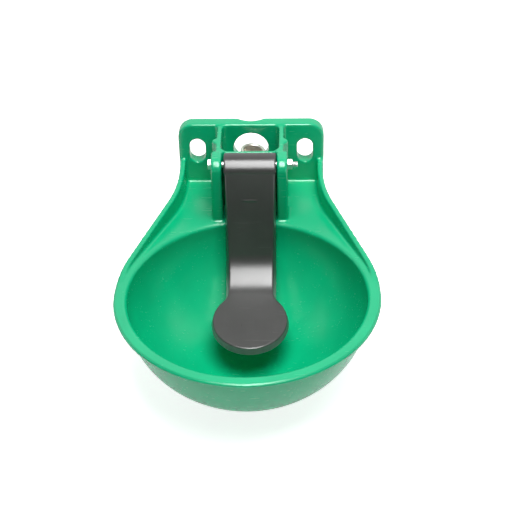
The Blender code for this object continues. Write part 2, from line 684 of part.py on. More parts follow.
def make_valve():
    """The angle valve and everything inside it."""
    wall_back = CROSS_WALL_OUT - CROSS_WALL
    gasket_front = wall_back - GAP
    gasket_back = gasket_front - GASKET_THICK
    shoulder_front = gasket_back - GAP
    shoulder_back = shoulder_front - SHOULDER_THICK
    nut_back = CROSS_WALL_OUT + GAP
    nut_front = nut_back + LOCK_NUT_THICK
    nozzle_front = nut_front + NOZZLE_PAST_NUT
    line = valve_axis()

    profile = [(0, nozzle_front), (NOZZLE_RADIUS - SOCKET_LIP, nozzle_front),
               (NOZZLE_RADIUS, nozzle_front - SOCKET_LIP), (NOZZLE_RADIUS, shoulder_front),
               (SHOULDER_RADIUS, shoulder_front), (SHOULDER_RADIUS, shoulder_back),
               (BARREL_TUBE_RADIUS, shoulder_back), (BARREL_TUBE_RADIUS, REAR_END_OUT),
               (0, REAR_END_OUT)]
    body = turned("valve", profile, HOLE_STEPS, line, closed=False)
    lean = (Matrix.Translation((0, -SOCKET_OUT, VALVE_Z)) @ Matrix.Rotation(SOCKET_LEAN, 4, "Y"))
    socket = rod("socket", SOCKET_RADIUS, 0, SOCKET_RISE, HOLE_STEPS, lean, SOCKET_LIP * HALF)
    combine(body, [socket], "UNION")
    bores = turned("bores", [(0, nozzle_front + CUT_PAST), (NOZZLE_BORE, nozzle_front + CUT_PAST),
                             (NOZZLE_BORE, SEAT_FRONT_OUT), (CHAMBER_BORE, SEAT_FRONT_OUT),
                             (CHAMBER_BORE, REAR_END_OUT - CUT_PAST), (0, REAR_END_OUT - CUT_PAST)],
                   HOLE_STEPS, line, closed=False)
    deep = SOCKET_RISE - SOCKET_BORE_DEPTH
    mouth = turned("mouth", [(0, SOCKET_RISE + CUT_PAST), (SOCKET_BORE + SOCKET_LIP + CUT_PAST,
                                                          SOCKET_RISE + CUT_PAST),
                             (SOCKET_BORE, SOCKET_RISE - SOCKET_LIP), (SOCKET_BORE, deep),
                             (PORT_RADIUS, deep), (PORT_RADIUS, 0), (0, 0)], HOLE_STEPS, lean, closed=False)
    combine(mouth, [bores], "UNION")
    combine(body, [mouth], "DIFFERENCE")
    finish(body, "valve_body", "brass")

    gasket = ring("gasket", NOZZLE_RADIUS + GAP, SHOULDER_RADIUS, gasket_back, gasket_front, HOLE_STEPS, line)
    finish(gasket, "valve_gasket", "rubber")
    nut = outline_solid("lock", hexagon(LOCK_NUT_FLATS), nut_back, nut_front, facing_out())
    nut.data.transform(Matrix.Translation((0, 0, VALVE_Z)))
    hole = rod("hole", NOZZLE_RADIUS + GAP, nut_back - CUT_PAST, nut_front + CUT_PAST, HOLE_STEPS, line)
    combine(nut, [hole], "DIFFERENCE")
    finish(nut, "valve_lock_nut", "brass")

    ring_front = SEAT_FRONT_OUT - GAP
    seat_front = ring_front - 2 * O_RING_SECTION - GAP
    seat_back = seat_front - SEAT_LENGTH
    lip_out = SEAT_LIP_RADIUS
    seat = turned("seat", [(SEAT_BORE, seat_front), (CHAMBER_BORE - GAP, seat_front),
                           (CHAMBER_BORE - GAP, seat_back), (lip_out, seat_back),
                           (lip_out - SEAT_LIP_HEIGHT * HALF, seat_back - SEAT_LIP_HEIGHT),
                           (SEAT_BORE, seat_back - SEAT_LIP_HEIGHT)], HOLE_STEPS, line)
    finish(seat, "seat_insert", "nylon")
    middle = (O_RING_RADIUS, ring_front - O_RING_SECTION)
    circle = arc(middle, O_RING_SECTION, math.tau, 0, O_RING_STEPS)[1:]
    finish(turned("o_ring", circle, SMALL_STEPS, line), "seat_o_ring", "rubber")

    seal_front = seat_back - SEAT_LIP_HEIGHT - GAP
    seal_back = seal_front - SEAL_THICK
    keep_front = seal_back - GAP
    keep_back = keep_front - RETAINER_THICK
    tip = STEM_TIP_OUT
    stem = turned("stem", [(0, tip), (STEM_TIP_ROUND, tip - STEM_TIP_ROUND * HALF * HALF),
                           (STEM_RADIUS, tip - STEM_TIP_ROUND),
                           (STEM_RADIUS, seal_front + GAP + STEM_COLLAR_LENGTH),
                           (STEM_COLLAR_RADIUS, seal_front + GAP + STEM_COLLAR_LENGTH),
                           (STEM_COLLAR_RADIUS, seal_front + GAP),
                           (STEM_RADIUS, seal_front + GAP), (STEM_RADIUS, STEM_BACK_OUT),
                           (0, STEM_BACK_OUT)], SMALL_STEPS, line, closed=False)
    along = Vector((0, -seal_front, VALVE_Z))
    stem = finish(stem, "valve_stem", "steel", along)
    seal = ring("seal", STEM_RADIUS + GAP, SEAL_RADIUS, seal_back, seal_front, HOLE_STEPS, line)
    finish(seal, "stem_seal", "rubber", along)
    keep = ring("keep", STEM_RADIUS + GAP, RETAINER_RADIUS, keep_back, keep_front, HOLE_STEPS, line, GAP)
    finish(keep, "seal_retainer", "brass", along)

    sleeve_front = REAR_END_OUT + PLUG_THREAD_LENGTH + PLUG_SLEEVE_LENGTH
    thread_front = REAR_END_OUT + PLUG_THREAD_LENGTH
    packing_front = REAR_END_OUT - GAP
    packing_back = packing_front - PLUG_SEAL_THICK
    head_front = packing_back - GAP
    head_back = head_front - PLUG_HEAD_THICK
    plug = turned("plug", [(0, thread_front - BITE), (PLUG_SLEEVE_BORE, thread_front - BITE),
                           (PLUG_SLEEVE_BORE, sleeve_front), (PLUG_SLEEVE_RADIUS, sleeve_front),
                           (PLUG_SLEEVE_RADIUS, thread_front), (PLUG_THREAD_RADIUS, thread_front),
                           (PLUG_THREAD_RADIUS, head_front - BITE), (0, head_front - BITE)],
                  HOLE_STEPS, line, closed=False)
    head = outline_solid("head", hexagon(PLUG_FLATS), head_back, head_front, facing_out())
    head.data.transform(Matrix.Translation((0, 0, VALVE_Z)))
    combine(plug, [head], "UNION")
    finish(plug, "spring_plug", "brass")
    packing = ring("packing", PLUG_THREAD_RADIUS + GAP, PLUG_FLATS * HALF, packing_back, packing_front,
                   HOLE_STEPS, line)
    finish(packing, "plug_seal", "rubber")
    make_spring(thread_front + GAP, keep_back - GAP, line)


def make_spring(low, high, line):
    """The return spring, wound as a tube along a helix between the plug and the retainer."""
    curve = bpy.data.curves.new("spring", "CURVE")
    curve.dimensions = "3D"
    curve.bevel_depth = SPRING_WIRE
    curve.bevel_resolution = 2
    curve.use_fill_caps = True
    spline = curve.splines.new("POLY")
    count = SPRING_TURNS * SPRING_STEPS + 1
    spline.points.add(count - len(spline.points))
    run = high - low - 2 * SPRING_WIRE
    for k, spot in enumerate(spline.points):
        angle = math.tau * k / SPRING_STEPS
        spot.co = (SPRING_MEAN_RADIUS * math.cos(angle), SPRING_MEAN_RADIUS * math.sin(angle),
                   low + SPRING_WIRE + run * k / (count - 1), 1)
    item = add_object("spring", curve, CUTTERS)
    item.matrix_world = line
    coil = baked(item, "spring", CUTTERS)
    finish(coil, "return_spring", "steel", (0, -low, VALVE_Z))


clear_scene()
PARTS = new_collection("livestock_drinking_bowl")
CUTTERS = new_collection("cutters")
make_body()
make_tongue()
make_hinge()
make_valve()
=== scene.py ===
"""Looks of the livestock drinking bowl: moulding, pressing tongue, hinge, angle valve and studio.

Metres, +Z up. The wall plane is y = 0, the origin lies midway between the two fixing slots, and
the bowl stands out towards -Y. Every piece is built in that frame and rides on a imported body.
"""
import json
import logging
import math
from dataclasses import dataclass
from enum import Enum
from typing import Any, Callable

import bpy
from mathutils import Matrix, Vector

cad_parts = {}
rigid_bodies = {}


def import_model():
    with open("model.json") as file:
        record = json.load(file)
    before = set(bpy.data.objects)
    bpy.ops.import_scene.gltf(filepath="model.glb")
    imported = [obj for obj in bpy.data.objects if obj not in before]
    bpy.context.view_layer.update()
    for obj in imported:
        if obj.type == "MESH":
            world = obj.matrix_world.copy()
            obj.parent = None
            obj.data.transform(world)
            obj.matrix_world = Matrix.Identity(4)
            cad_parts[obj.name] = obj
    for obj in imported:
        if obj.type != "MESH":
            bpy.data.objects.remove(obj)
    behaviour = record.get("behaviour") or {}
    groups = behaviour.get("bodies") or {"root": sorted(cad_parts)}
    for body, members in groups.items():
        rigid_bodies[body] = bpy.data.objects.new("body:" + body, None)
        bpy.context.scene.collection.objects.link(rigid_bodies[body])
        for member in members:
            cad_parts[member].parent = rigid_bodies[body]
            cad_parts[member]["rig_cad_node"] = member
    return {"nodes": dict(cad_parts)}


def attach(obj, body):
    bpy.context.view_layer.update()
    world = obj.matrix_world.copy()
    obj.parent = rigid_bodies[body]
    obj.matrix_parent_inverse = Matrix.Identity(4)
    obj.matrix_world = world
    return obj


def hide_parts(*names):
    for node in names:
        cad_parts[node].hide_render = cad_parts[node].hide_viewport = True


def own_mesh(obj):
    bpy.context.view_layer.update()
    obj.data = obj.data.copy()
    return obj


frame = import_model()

LOG = logging.getLogger("drinking_bowl")
MERGE = 0.000002
QUARTER = math.pi / 2
SHARP = math.radians(35)
ORIGIN = Matrix.Identity(4)

Flat = tuple[float, float]
Spot = tuple[float, float, float]
Colour = tuple[float, float, float]


class Ride(Enum):
    """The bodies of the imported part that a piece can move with."""

    HOUSING = "housing"
    TONGUE = "tongue"


class Slot(Enum):
    """The record's material slots."""

    GREEN = "green"
    CHARCOAL = "charcoal"
    ZINC = "zinc"
    BRASS = "brass"
    STEEL = "steel"
    RUBBER = "rubber"
    NYLON = "nylon"


class Join(Enum):
    """How one solid acts on another."""

    ADD = "UNION"
    CUT = "DIFFERENCE"
    KEEP = "INTERSECT"


class Solid:
    """A piece on the bench: drawn with the edit-mode tools, then worked with modifiers."""

    def __init__(self, item: bpy.types.Object) -> None:
        """Takes hold of a mesh object."""
        self.item = item

    @staticmethod
    def clear() -> None:
        """Leaves edit mode and deselects everything."""
        if bpy.context.object is not None and bpy.context.object.mode != "OBJECT":
            bpy.ops.object.mode_set(mode="OBJECT")
        bpy.ops.object.select_all(action="DESELECT")

    @staticmethod
    def weld() -> None:
        """Merges the doubles of the piece in edit mode, and selects all of it."""
        bpy.ops.mesh.select_all(action="SELECT")
        bpy.ops.mesh.remove_doubles(threshold=MERGE)
        bpy.ops.mesh.select_all(action="SELECT")

    @staticmethod
    def settle(name: str) -> "Solid":
        """Puts the new primitive's place into its mesh.

        Args:
            name: The name that it gets.

        Returns:
            The piece.
        """
        item = bpy.context.object
        item.name = item.data.name = name
        bpy.ops.object.transform_apply(location=True, rotation=True, scale=True)
        return Solid(item)

    @staticmethod
    def line(name: str, spots: list[Spot]) -> "Solid":
        """Draws a line of edges by extruding one vertex from spot to spot.

        Args:
            name: The piece's name.
            spots: The points that the line runs through.

        Returns:
            The line, left in edit mode with all of it selected.
        """
        Solid.clear()
        bpy.ops.mesh.primitive_plane_add(size=1, location=spots[0])
        made = Solid.settle(name)
        made.edit()
        bpy.ops.mesh.merge(type="CENTER")
        for here, there in zip(spots, spots[1:]):
            step = Vector(there) - Vector(here)
            bpy.ops.mesh.extrude_vertices_move(TRANSFORM_OT_translate={"value": step})
        bpy.ops.mesh.select_all(action="SELECT")
        return made

    @staticmethod
    def slab(name: str, spots: list[Spot], depth: Spot) -> "Solid":
        """Fills a flat outline and extrudes it to a closed solid.

        Args:
            name: The piece's name.
            spots: The corners of the outline, in order.
            depth: The way and distance to extrude.

        Returns:
            The solid.
        """
        made = Solid.line(name, spots)
        bpy.ops.mesh.edge_face_add()
        bpy.ops.mesh.extrude_region_move(TRANSFORM_OT_translate={"value": Vector(depth)})
        return made.close()

    @staticmethod
    def plan(name: str, outline: list[Flat], low: float, high: float) -> "Solid":
        """A solid from an outline seen from above, between two heights."""
        return Solid.slab(name, [(x, y, low) for x, y in outline], (0, 0, high - low))

    @staticmethod
    def front(name: str, outline: list[Flat], near: float, far: float) -> "Solid":
        """A solid from an outline seen from the front, between two distances from the wall."""
        return Solid.slab(name, [(x, -near, z) for x, z in outline], (0, near - far, 0))

    @staticmethod
    def side(name: str, outline: list[Flat], left: float, right: float) -> "Solid":
        """A solid from an outline of y and z, between two places across."""
        return Solid.slab(name, [(left, y, z) for y, z in outline], (right - left, 0, 0))

    @staticmethod
    def turned(name: str, profile: list[Flat], steps: int, place: Matrix = ORIGIN) -> "Solid":
        """Spins a profile once round its own axis.

        Args:
            name: The piece's name.
            profile: Points of radius and height, from axis to axis.
            steps: How many steps one turn has.
            place: Where the axis and its foot go.

        Returns:
            The closed turned solid.
        """
        made = Solid.line(name, [(radius, 0.0, height) for radius, height in profile])
        Solid.weld()
        bpy.ops.mesh.spin(steps=steps, angle=math.tau, center=(0, 0, 0), axis=(0, 0, 1))
        return made.close().move(place)

    @staticmethod
    def rod(name: str, radius: float, low: float, high: float, steps: int,
            place: Matrix) -> "Solid":
        """A plain round rod between two heights of its axis."""
        return Solid.turned(name, DRAW.stairs(low, (radius, high)), steps, place)

    @staticmethod
    def loft(name: str, loops: list[list[Spot]]) -> "Solid":
        """Draws one loop after another and bridges them to a closed skin.

        Args:
            name: The piece's name.
            loops: Closed loops with the same number of points.

        Returns:
            The closed solid.
        """
        drawn = []
        for loop in loops:
            drawn.append(Solid.line(name, loop + loop[:1]))
            Solid.weld()
            bpy.ops.object.mode_set(mode="OBJECT")
        drawn[0].pick()
        for other in drawn[1:]:
            other.item.select_set(True)
        bpy.ops.object.join()
        bpy.ops.object.mode_set(mode="EDIT")
        bpy.ops.mesh.select_all(action="SELECT")
        bpy.ops.mesh.bridge_edge_loops()
        return drawn[0].fill()

    def pick(self) -> None:
        """Makes this the only selected and active piece."""
        Solid.clear()
        self.item.select_set(True)
        bpy.context.view_layer.objects.active = self.item

    def edit(self) -> None:
        """Opens the piece in edit mode with all of it selected."""
        self.pick()
        bpy.ops.object.mode_set(mode="EDIT")
        bpy.ops.mesh.select_mode(type="VERT")
        bpy.ops.mesh.select_all(action="SELECT")

    def close(self) -> "Solid":
        """Merges doubles, turns all faces outwards and leaves edit mode.

        Returns:
            The piece.
        """
        Solid.weld()
        bpy.ops.mesh.normals_make_consistent(inside=False)
        bpy.ops.object.mode_set(mode="OBJECT")
        return self

    def fill(self) -> "Solid":
        """Closes the open ends of the piece in edit mode, and leaves edit mode.

        Returns:
            The piece.
        """
        bpy.ops.mesh.select_all(action="SELECT")
        bpy.ops.mesh.fill_holes(sides=0)
        return self.close()

    def move(self, place: Matrix) -> "Solid":
        """Puts the piece somewhere and applies that to its mesh.

        Args:
            place: Where it goes.

        Returns:
            The piece.
        """
        self.pick()
        self.item.matrix_world = place @ self.item.matrix_world
        bpy.ops.object.transform_apply(location=True, rotation=True, scale=True)
        return self

    def pair(self, apart: float) -> list["Solid"]:
        """Copies the piece, with a mesh of its own, to the other side.

        Args:
            apart: How far across the copy lies.

        Returns:
            The piece and its copy.
        """
        self.pick()
        bpy.ops.object.duplicate(linked=False)
        twin = Solid(bpy.context.object)
        return [self, twin.move(Matrix.Translation((apart, 0, 0)))]

    def trim(self, spot: Spot, normal: Spot) -> "Solid":
        """Cuts off what lies beyond a plane and fills the cut.

        Args:
            spot: A point on the plane.
            normal: The way to the side that goes.

        Returns:
            The piece.
        """
        self.edit()
        bpy.ops.mesh.bisect(plane_co=spot, plane_no=normal, use_fill=True, clear_outer=True)
        return self.close()

    def modify(self, kind: str, **settings: Any) -> None:
        """Adds one modifier, sets it and applies it.

        Args:
            kind: The modifier's type.
            settings: The modifier's own settings.
        """
        self.pick()
        step = self.item.modifiers.new(kind.title(), kind)
        for name, value in settings.items():
            setattr(step, name, value)
        bpy.ops.object.modifier_apply(modifier=step.name)

    def act(self, how: Join, tools: tuple["Solid", ...]) -> "Solid":
        """Acts with one tool after another on the piece, and uses the tools up.

        Args:
            how: Whether they are added, cut away or kept.
            tools: The solids that act on it.

        Returns:
            The piece.
        """
        for tool in tools:
            self.modify("BOOLEAN", operation=how.value, solver="MANIFOLD", object=tool.item)
            bpy.data.objects.remove(tool.item, do_unlink=True)
        return self

    def add(self, *tools: "Solid") -> "Solid":
        """Adds other solids."""
        return self.act(Join.ADD, tools)

    def cut(self, *tools: "Solid") -> "Solid":
        """Cuts other solids away."""
        return self.act(Join.CUT, tools)

    def keep(self, *tools: "Solid") -> "Solid":
        """Keeps only what lies inside the other solids."""
        return self.act(Join.KEEP, tools)

    def melt(self, grain: float, passes: int, share: float = 1.0) -> "Solid":
        """Rounds every edge as a mould does: an even skin of small faces, then smoothed.

        Args:
            grain: The size of the skin's faces.
            passes: How often the skin is smoothed.
            share: The share of the faces that stays.

        Returns:
            The piece.
        """
        self.modify("REMESH", mode="VOXEL", voxel_size=grain, use_smooth_shade=True)
        self.modify("SMOOTH", iterations=passes)
        if share < 1:
            self.modify("DECIMATE", ratio=share)
        self.pick()
        bpy.ops.object.shade_smooth()
        return self

    def crisp(self, width: float = 0.0) -> "Solid":
        """Smooth shading with sharp edges.

        Args:
            width: The width of a small bevel on them, or 0 for none.

        Returns:
            The piece.
        """
        if width:
            self.modify("BEVEL", width=width, segments=2, limit_method="ANGLE", angle_limit=SHARP)
        self.pick()
        bpy.ops.object.shade_smooth_by_angle(angle=SHARP)
        return self

    def hand_over(self, finish: "Finish", node: str, ride: Ride = Ride.HOUSING) -> None:
        """Dresses the finished piece and hands it to its body.

        Args:
            finish: Its finish.
            node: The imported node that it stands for.
            ride: The body that it moves with.
        """
        finish.paint(self.item)
        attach(self.item, ride.value)
        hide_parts(node)
        LOG.info("%s: %d faces for %s", self.item.name, len(self.item.data.polygons), node)


@dataclass(frozen=True)
class Outline:
    """Flat outlines that the pieces are drawn from."""

    corner_steps: int = 12

    def arc(self, centre: Flat, radius: float, start: float, end: float,
            steps: int) -> list[Flat]:
        """Points of an arc with both its ends.

        Args:
            centre: The middle of the circle.
            radius: The circle's radius.
            start: The angle of the first point.
            end: The angle of the last point.
            steps: How many steps the arc is cut into.

        Returns:
            The points in order.
        """
        turns = [start + (end - start) * k / steps for k in range(steps + 1)]
        return [(centre[0] + radius * math.cos(t), centre[1] + radius * math.sin(t))
                for t in turns]

    def stairs(self, start: float, *treads: Flat) -> list[Flat]:
        """A stepped profile from axis to axis.

        Args:
            start: The height where it leaves the axis.
            treads: The radius of each step, and the height where it ends.

        Returns:
            Points of radius and height.
        """
        points: list[Flat] = [(0, start)]
        for radius, end in treads:
            points += [(radius, points[-1][1]), (radius, end)]
        return points + [(0, points[-1][1])]

    def circle(self, centre: Flat, radius: float, steps: int) -> list[Flat]:
        """Points of a full circle."""
        return self.arc(centre, radius, 0, math.tau, steps)[1:]

    def rounded(self, left: float, right: float, low: float, high: float,
                radii: tuple[float, ...] = (0, 0, 0, 0)) -> list[Flat]:
        """A rectangle with its own radius at each corner.

        Args:
            left: Its left side.
            right: Its right side.
            low: Its lower side.
            high: Its upper side.
            radii: The radii at low left, low right, high right and high left.

        Returns:
            The points in order.
        """
        corners = ((left, low, 1, 1), (right, low, -1, 1), (right, high, -1, -1),
                   (left, high, 1, -1))
        points: list[Flat] = []
        for index, ((x, y, across, along), radius) in enumerate(zip(corners, radii)):
            if radius == 0:
                points.append((x, y))
                continue
            start = math.pi + index * QUARTER
            centre = (x + across * radius, y + along * radius)
            points += self.arc(centre, radius, start, start + QUARTER, self.corner_steps)
        return points

    def hexagon(self, flats: float) -> list[Flat]:
        """A hexagon by its width across the flats."""
        corner, turns = flats / 2 / math.cos(math.pi / 6), [math.pi * k / 3 for k in range(6)]
        return [(corner * math.cos(t), corner * math.sin(t)) for t in turns]


DRAW = Outline()


class Signal:
    """One shader socket that can stand in a sum, so that node maths reads as an expression."""

    def __init__(self, recipe: "Recipe", socket: bpy.types.NodeSocket) -> None:
        """Wraps a socket of a recipe's node tree."""
        self.recipe = recipe
        self.socket = socket

    def maths(self, operation: str, first: Any, second: Any = 0.0) -> "Signal":
        """Adds one Math node for two values."""
        return self.recipe.node("ShaderNodeMath", {"operation": operation}, {0: first, 1: second})

    def __abs__(self) -> "Signal":
        """The value without its sign."""
        return self.maths("ABSOLUTE", self)

    def most(self, other: Any) -> "Signal":
        """The greater of both."""
        return self.maths("MAXIMUM", self, other)


def operator(operation: str, swapped: bool) -> Callable[[Signal, Any], Signal]:
    """Makes an operator of Signal that adds a Math node.

    Args:
        operation: The Math node's operation.
        swapped: Whether the signal is the second value, as in 1 - mask.

    Returns:
        The method.
    """
    def work(self: Signal, other: Any) -> Signal:
        """Adds the Math node for both values, in their order."""
        return self.maths(operation, *((other, self) if swapped else (self, other)))
    return work


for sign, kind in {"add": "ADD", "sub": "SUBTRACT", "mul": "MULTIPLY"}.items():
    setattr(Signal, f"__{sign}__", operator(kind, False))
    setattr(Signal, f"__r{sign}__", operator(kind, True))
Signal.__gt__ = operator("GREATER_THAN", False)
Signal.__lt__ = operator("LESS_THAN", False)


class Recipe:
    """A node tree that is written as expressions."""

    def __init__(self, tree: bpy.types.NodeTree) -> None:
        """Starts from an empty tree."""
        tree.nodes.clear()
        self.tree = tree

    def node(self, kind: str, settings: dict[str, Any] | None = None,
             sockets: dict[str | int, Any] | None = None, out: str | int = 0) -> Signal:
        """Adds one node.

        Args:
            kind: The node's type.
            settings: Its own settings, such as a Math node's operation.
            sockets: The values or signals of its inputs.
            out: The output that is read.

        Returns:
            The output as a signal.
        """
        made = self.tree.nodes.new(kind)
        for name, value in (settings or {}).items():
            setattr(made, name, value)
        for name, value in (sockets or {}).items():
            if isinstance(value, Signal):
                self.tree.links.new(value.socket, made.inputs[name])
            else:
                made.inputs[name].default_value = value
        return Signal(self, made.outputs[out])

    def end(self, surface: Signal, kind: str = "ShaderNodeOutputMaterial") -> None:
        """Sends a shader to the tree's output."""
        last = self.tree.nodes.new(kind)
        self.tree.links.new(surface.socket, last.inputs["Surface"])

    def here(self) -> Signal:
        """Object coordinates, in metres."""
        return self.node("ShaderNodeTexCoord", out="Object")

    def part(self, axis: str) -> Signal:
        """One of the object coordinates X, Y and Z."""
        return self.node("ShaderNodeSeparateXYZ", sockets={0: self.here()}, out=axis)

    def ray(self, kind: str) -> Signal:
        """1 for rays of one kind, such as Camera, else 0."""
        return self.node("ShaderNodeLightPath", out=f"Is {kind} Ray")

    def noise(self, scale: float, detail: float = 1, rough: float = 0.5,
              stretch: Spot = (1, 1, 1), turn: Spot = (0, 0, 0)) -> Signal:
        """Cloudy noise between 0 and 1.

        Args:
            scale: How many clouds fit in a metre.
            detail: How many finer layers it has.
            rough: How strong the finer layers are.
            stretch: How the coordinates are scaled first.
            turn: How they are turned first.

        Returns:
            The noise.
        """
        place = self.node("ShaderNodeMapping", sockets={"Vector": self.here(), "Scale": stretch,
                                                        "Rotation": turn})
        return self.node("ShaderNodeTexNoise", sockets={"Vector": place, "Scale": scale,
                                                        "Detail": detail, "Roughness": rough})

    def spread(self, value: Signal, low: float, high: float, start: float = 0.0,
               end: float = 1.0) -> Signal:
        """Maps low..high of a signal to start..end, and stops at both."""
        sockets = {"Value": value, "From Min": low, "From Max": high, "To Min": start,
                   "To Max": end}
        return self.node("ShaderNodeMapRange", {"clamp": True}, sockets)

    def blend(self, share: Any, one: Any, two: Any) -> Signal:
        """Mixes two colours by a share."""
        return self.node("ShaderNodeMix", {"data_type": "RGBA"}, {0: share, 6: one, 7: two}, 2)

    def scratches(self, count: float, threshold: float, turn: Spot, ramp: float = 0.03,
                  clearings: float = 0.1, patch: Flat = (0.55, 0.62)) -> Signal:
        """Sparse thin scratches in one direction, in patches.

        Args:
            count: How many could lie side by side in a metre.
            threshold: The noise level above which there is one.
            turn: How their direction is turned.
            ramp: How far above that level one is at its full strength.
            clearings: The patches' scale as a share of count.
            patch: The noise levels where a patch starts and is full.

        Returns:
            1 on a scratch and 0 off it.
        """
        lines = self.noise(count, rough=0.4, stretch=(0.02, 1, 1), turn=turn)
        patches = self.noise(count * clearings)
        return self.spread(lines, threshold, threshold + ramp) * self.spread(patches, *patch)

    def flecks(self, count: float, size: float, rarity: float) -> Signal:
        """Tiny specks of dust.

        Args:
            count: How many cells fit in a metre.
            size: A speck's radius as a share of a cell.
            rarity: The share of cells that have none.

        Returns:
            1 on a speck and 0 off it.
        """
        sockets = {"Vector": self.here(), "Scale": count}
        reach = self.node("ShaderNodeTexVoronoi", sockets=sockets, out="Distance")
        tint = self.node("ShaderNodeTexVoronoi", sockets=sockets, out="Color")
        lot = self.node("ShaderNodeSeparateColor", sockets={0: tint}, out=0)
        return (reach < size) * (lot > rarity)


@dataclass(frozen=True)
class Layer:
    """One pattern of a finish: the colour it lays on, and what it adds to roughness and height."""

    pattern: Signal
    colour: Colour | None = None
    share: float = 1.0
    rough: float = 0.0
    middle: float = 0.0
    height: float = 0.0


@dataclass(frozen=True)
class Finish:
    """A finish: its slot, its colour and gloss, and how deep its relief is."""

    title: str
    slot: Slot
    tint: Colour
    rough: float
    metallic: float = 0.0
    ior: float = 1.5
    dark: float = 1.0
    pale: float = 1.0
    relief: float = 0.25
    relief_depth: float = 0.00006

    def shade(self, factor: float) -> Colour:
        """The finish's colour, lighter or darker."""
        return tuple(min(1.0, c * factor) for c in self.tint)

    def layers(self, recipe: Recipe) -> list[Layer]:
        """The patterns of the finish, from the lowest up."""
        return []

    def material(self) -> bpy.types.Material:
        """Builds the finish's material, or finds it if it is there already.

        Returns:
            The material.
        """
        there = bpy.data.materials.get(self.title)
        if there is not None:
            return there
        made = bpy.data.materials.new(self.title)
        made.use_nodes = True
        recipe = Recipe(made.node_tree)
        base, rough, height = (*self.shade(self.dark), 1), self.rough, 0.0
        for layer in self.layers(recipe):
            if layer.colour:
                base = recipe.blend(layer.pattern * layer.share, base, (*layer.colour, 1))
            if layer.rough:
                rough = rough + (layer.pattern - layer.middle) * layer.rough
            if layer.height:
                height = height + layer.pattern * layer.height
        normal = recipe.node("ShaderNodeBump", sockets={
            "Height": height, "Strength": self.relief, "Distance": self.relief_depth})
        recipe.end(recipe.node("ShaderNodeBsdfPrincipled", sockets={
            "Base Color": base, "Roughness": rough, "Metallic": self.metallic, "IOR": self.ior,
            "Normal": normal}))
        return made

    def paint(self, item: bpy.types.Object) -> None:
        """Puts the finish on all of a piece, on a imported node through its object's slots.

        Args:
            item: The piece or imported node.
        """
        made = self.material()
        if "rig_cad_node" in item and len(item.material_slots):
            for held in item.material_slots:
                held.link = "OBJECT"
                held.material = made
            return
        item.data.materials.clear()
        item.data.materials.append(made)


@dataclass(frozen=True)
class MouldedGreen(Finish):
    """Glossy moulded plastic with a light skin, scratches, dust, and a groove round the rim
    darkened with painted shade.
    """

    title: str = "moulded_green"
    slot: Slot = Slot.GREEN
    tint: Colour = (0.0015, 0.450, 0.202)
    rough: float = 0.24
    ior: float = 1.56
    dark: float = 0.94
    pale: float = 1.06
    relief: float = 0.35
    relief_depth: float = 0.0003
    scratch_tint: Colour = (0.25, 0.72, 0.45)
    dust_tint: Colour = (0.45, 0.80, 0.62)
    # how dark the painted shade in the rim's groove is
    groove_painted_shade: float = 0.45
    bowl_centre: Spot = (0.0, -0.204, 0.0)
    line_radius: float = 0.1270
    line_half: float = 0.0007
    rim_low: float = -0.0410
    rim_back: float = -0.1680

    def groove(self, recipe: Recipe) -> Signal:
        """The thin groove round the rim's edge, dented by bump and darkened as painted shade of the
        rim's small step.

        Args:
            recipe: The material's node tree.

        Returns:
            1 in the line and 0 off it.
        """
        flat = recipe.node("ShaderNodeVectorMath", {"operation": "MULTIPLY"},
                           {0: recipe.here(), 1: (1, 1, 0)})
        reach = recipe.node("ShaderNodeVectorMath", {"operation": "DISTANCE"},
                            {0: flat, 1: self.bowl_centre}, out="Value")
        line = recipe.spread(abs(reach - self.line_radius), 0.0, self.line_half, 1.0, 0.0)
        return line * (recipe.part("Z") > self.rim_low) * (recipe.part("Y") < self.rim_back)

    def layers(self, recipe: Recipe) -> list[Layer]:
        """The patterns of the finish, from the lowest up.

        Args:
            recipe: The material's node tree.

        Returns:
            The layers.
        """
        cloud = recipe.noise(16, detail=3, rough=0.55)
        scratch = recipe.scratches(620, 0.68, (0.5, 0.3, 0.8)).most(
            recipe.scratches(800, 0.70, (-0.4, 0.9, -0.7)))
        return [Layer(recipe.spread(cloud, low=0.35, high=0.65), self.shade(self.pale)),
                Layer(cloud, rough=0.10, middle=0.5),
                Layer(recipe.noise(190, detail=2), height=0.35),
                Layer(recipe.noise(1700), height=0.10),
                # painted shade: the groove's colour is darkened where the rim's small step would
                # shade it; its dent is real bump
                Layer(self.groove(recipe), self.shade(self.groove_painted_shade), share=0.45,
                      height=-0.9),
                Layer(scratch, self.scratch_tint, share=0.06, rough=0.10, height=-0.05),
                Layer(recipe.flecks(170, size=0.08, rarity=0.9972), self.dust_tint, share=0.6)]


@dataclass(frozen=True)
class SatinCharcoal(Finish):
    """Dark satin plastic whose fine streaks run along the tongue."""

    title: str = "satin_charcoal"
    slot: Slot = Slot.CHARCOAL
    tint: Colour = (0.037, 0.0365, 0.035)
    rough: float = 0.30
    ior: float = 1.68
    dark: float = 0.9
    pale: float = 1.1
    relief: float = 0.22
    relief_depth: float = 0.0002
    scratch_tint: Colour = (0.16, 0.16, 0.155)
    streak_shade: float = 1.4

    def layers(self, recipe: Recipe) -> list[Layer]:
        """The patterns of the finish, from the lowest up.

        Args:
            recipe: The material's node tree.

        Returns:
            The layers.
        """
        cloud = recipe.noise(26, detail=3, rough=0.6)
        streaks = recipe.noise(900, detail=2, rough=0.6, stretch=(1, 0.03, 0.03))
        scratch = recipe.scratches(700, 0.70, (0.2, 1.1, 1.2)).most(
            recipe.scratches(900, 0.71, (0.3, 0.9, 1.9)))
        pale = recipe.spread(streaks, low=0.4, high=0.7)
        return [Layer(recipe.spread(cloud, low=0.35, high=0.65), self.shade(self.pale)),
                Layer(pale, self.shade(self.streak_shade), share=0.12),
                Layer(cloud, rough=0.08, middle=0.5),
                Layer(streaks, rough=0.06, middle=0.5, height=0.10),
                Layer(recipe.noise(2200), height=0.2),
                Layer(scratch, self.scratch_tint, share=0.2, rough=0.1, height=-0.3)]


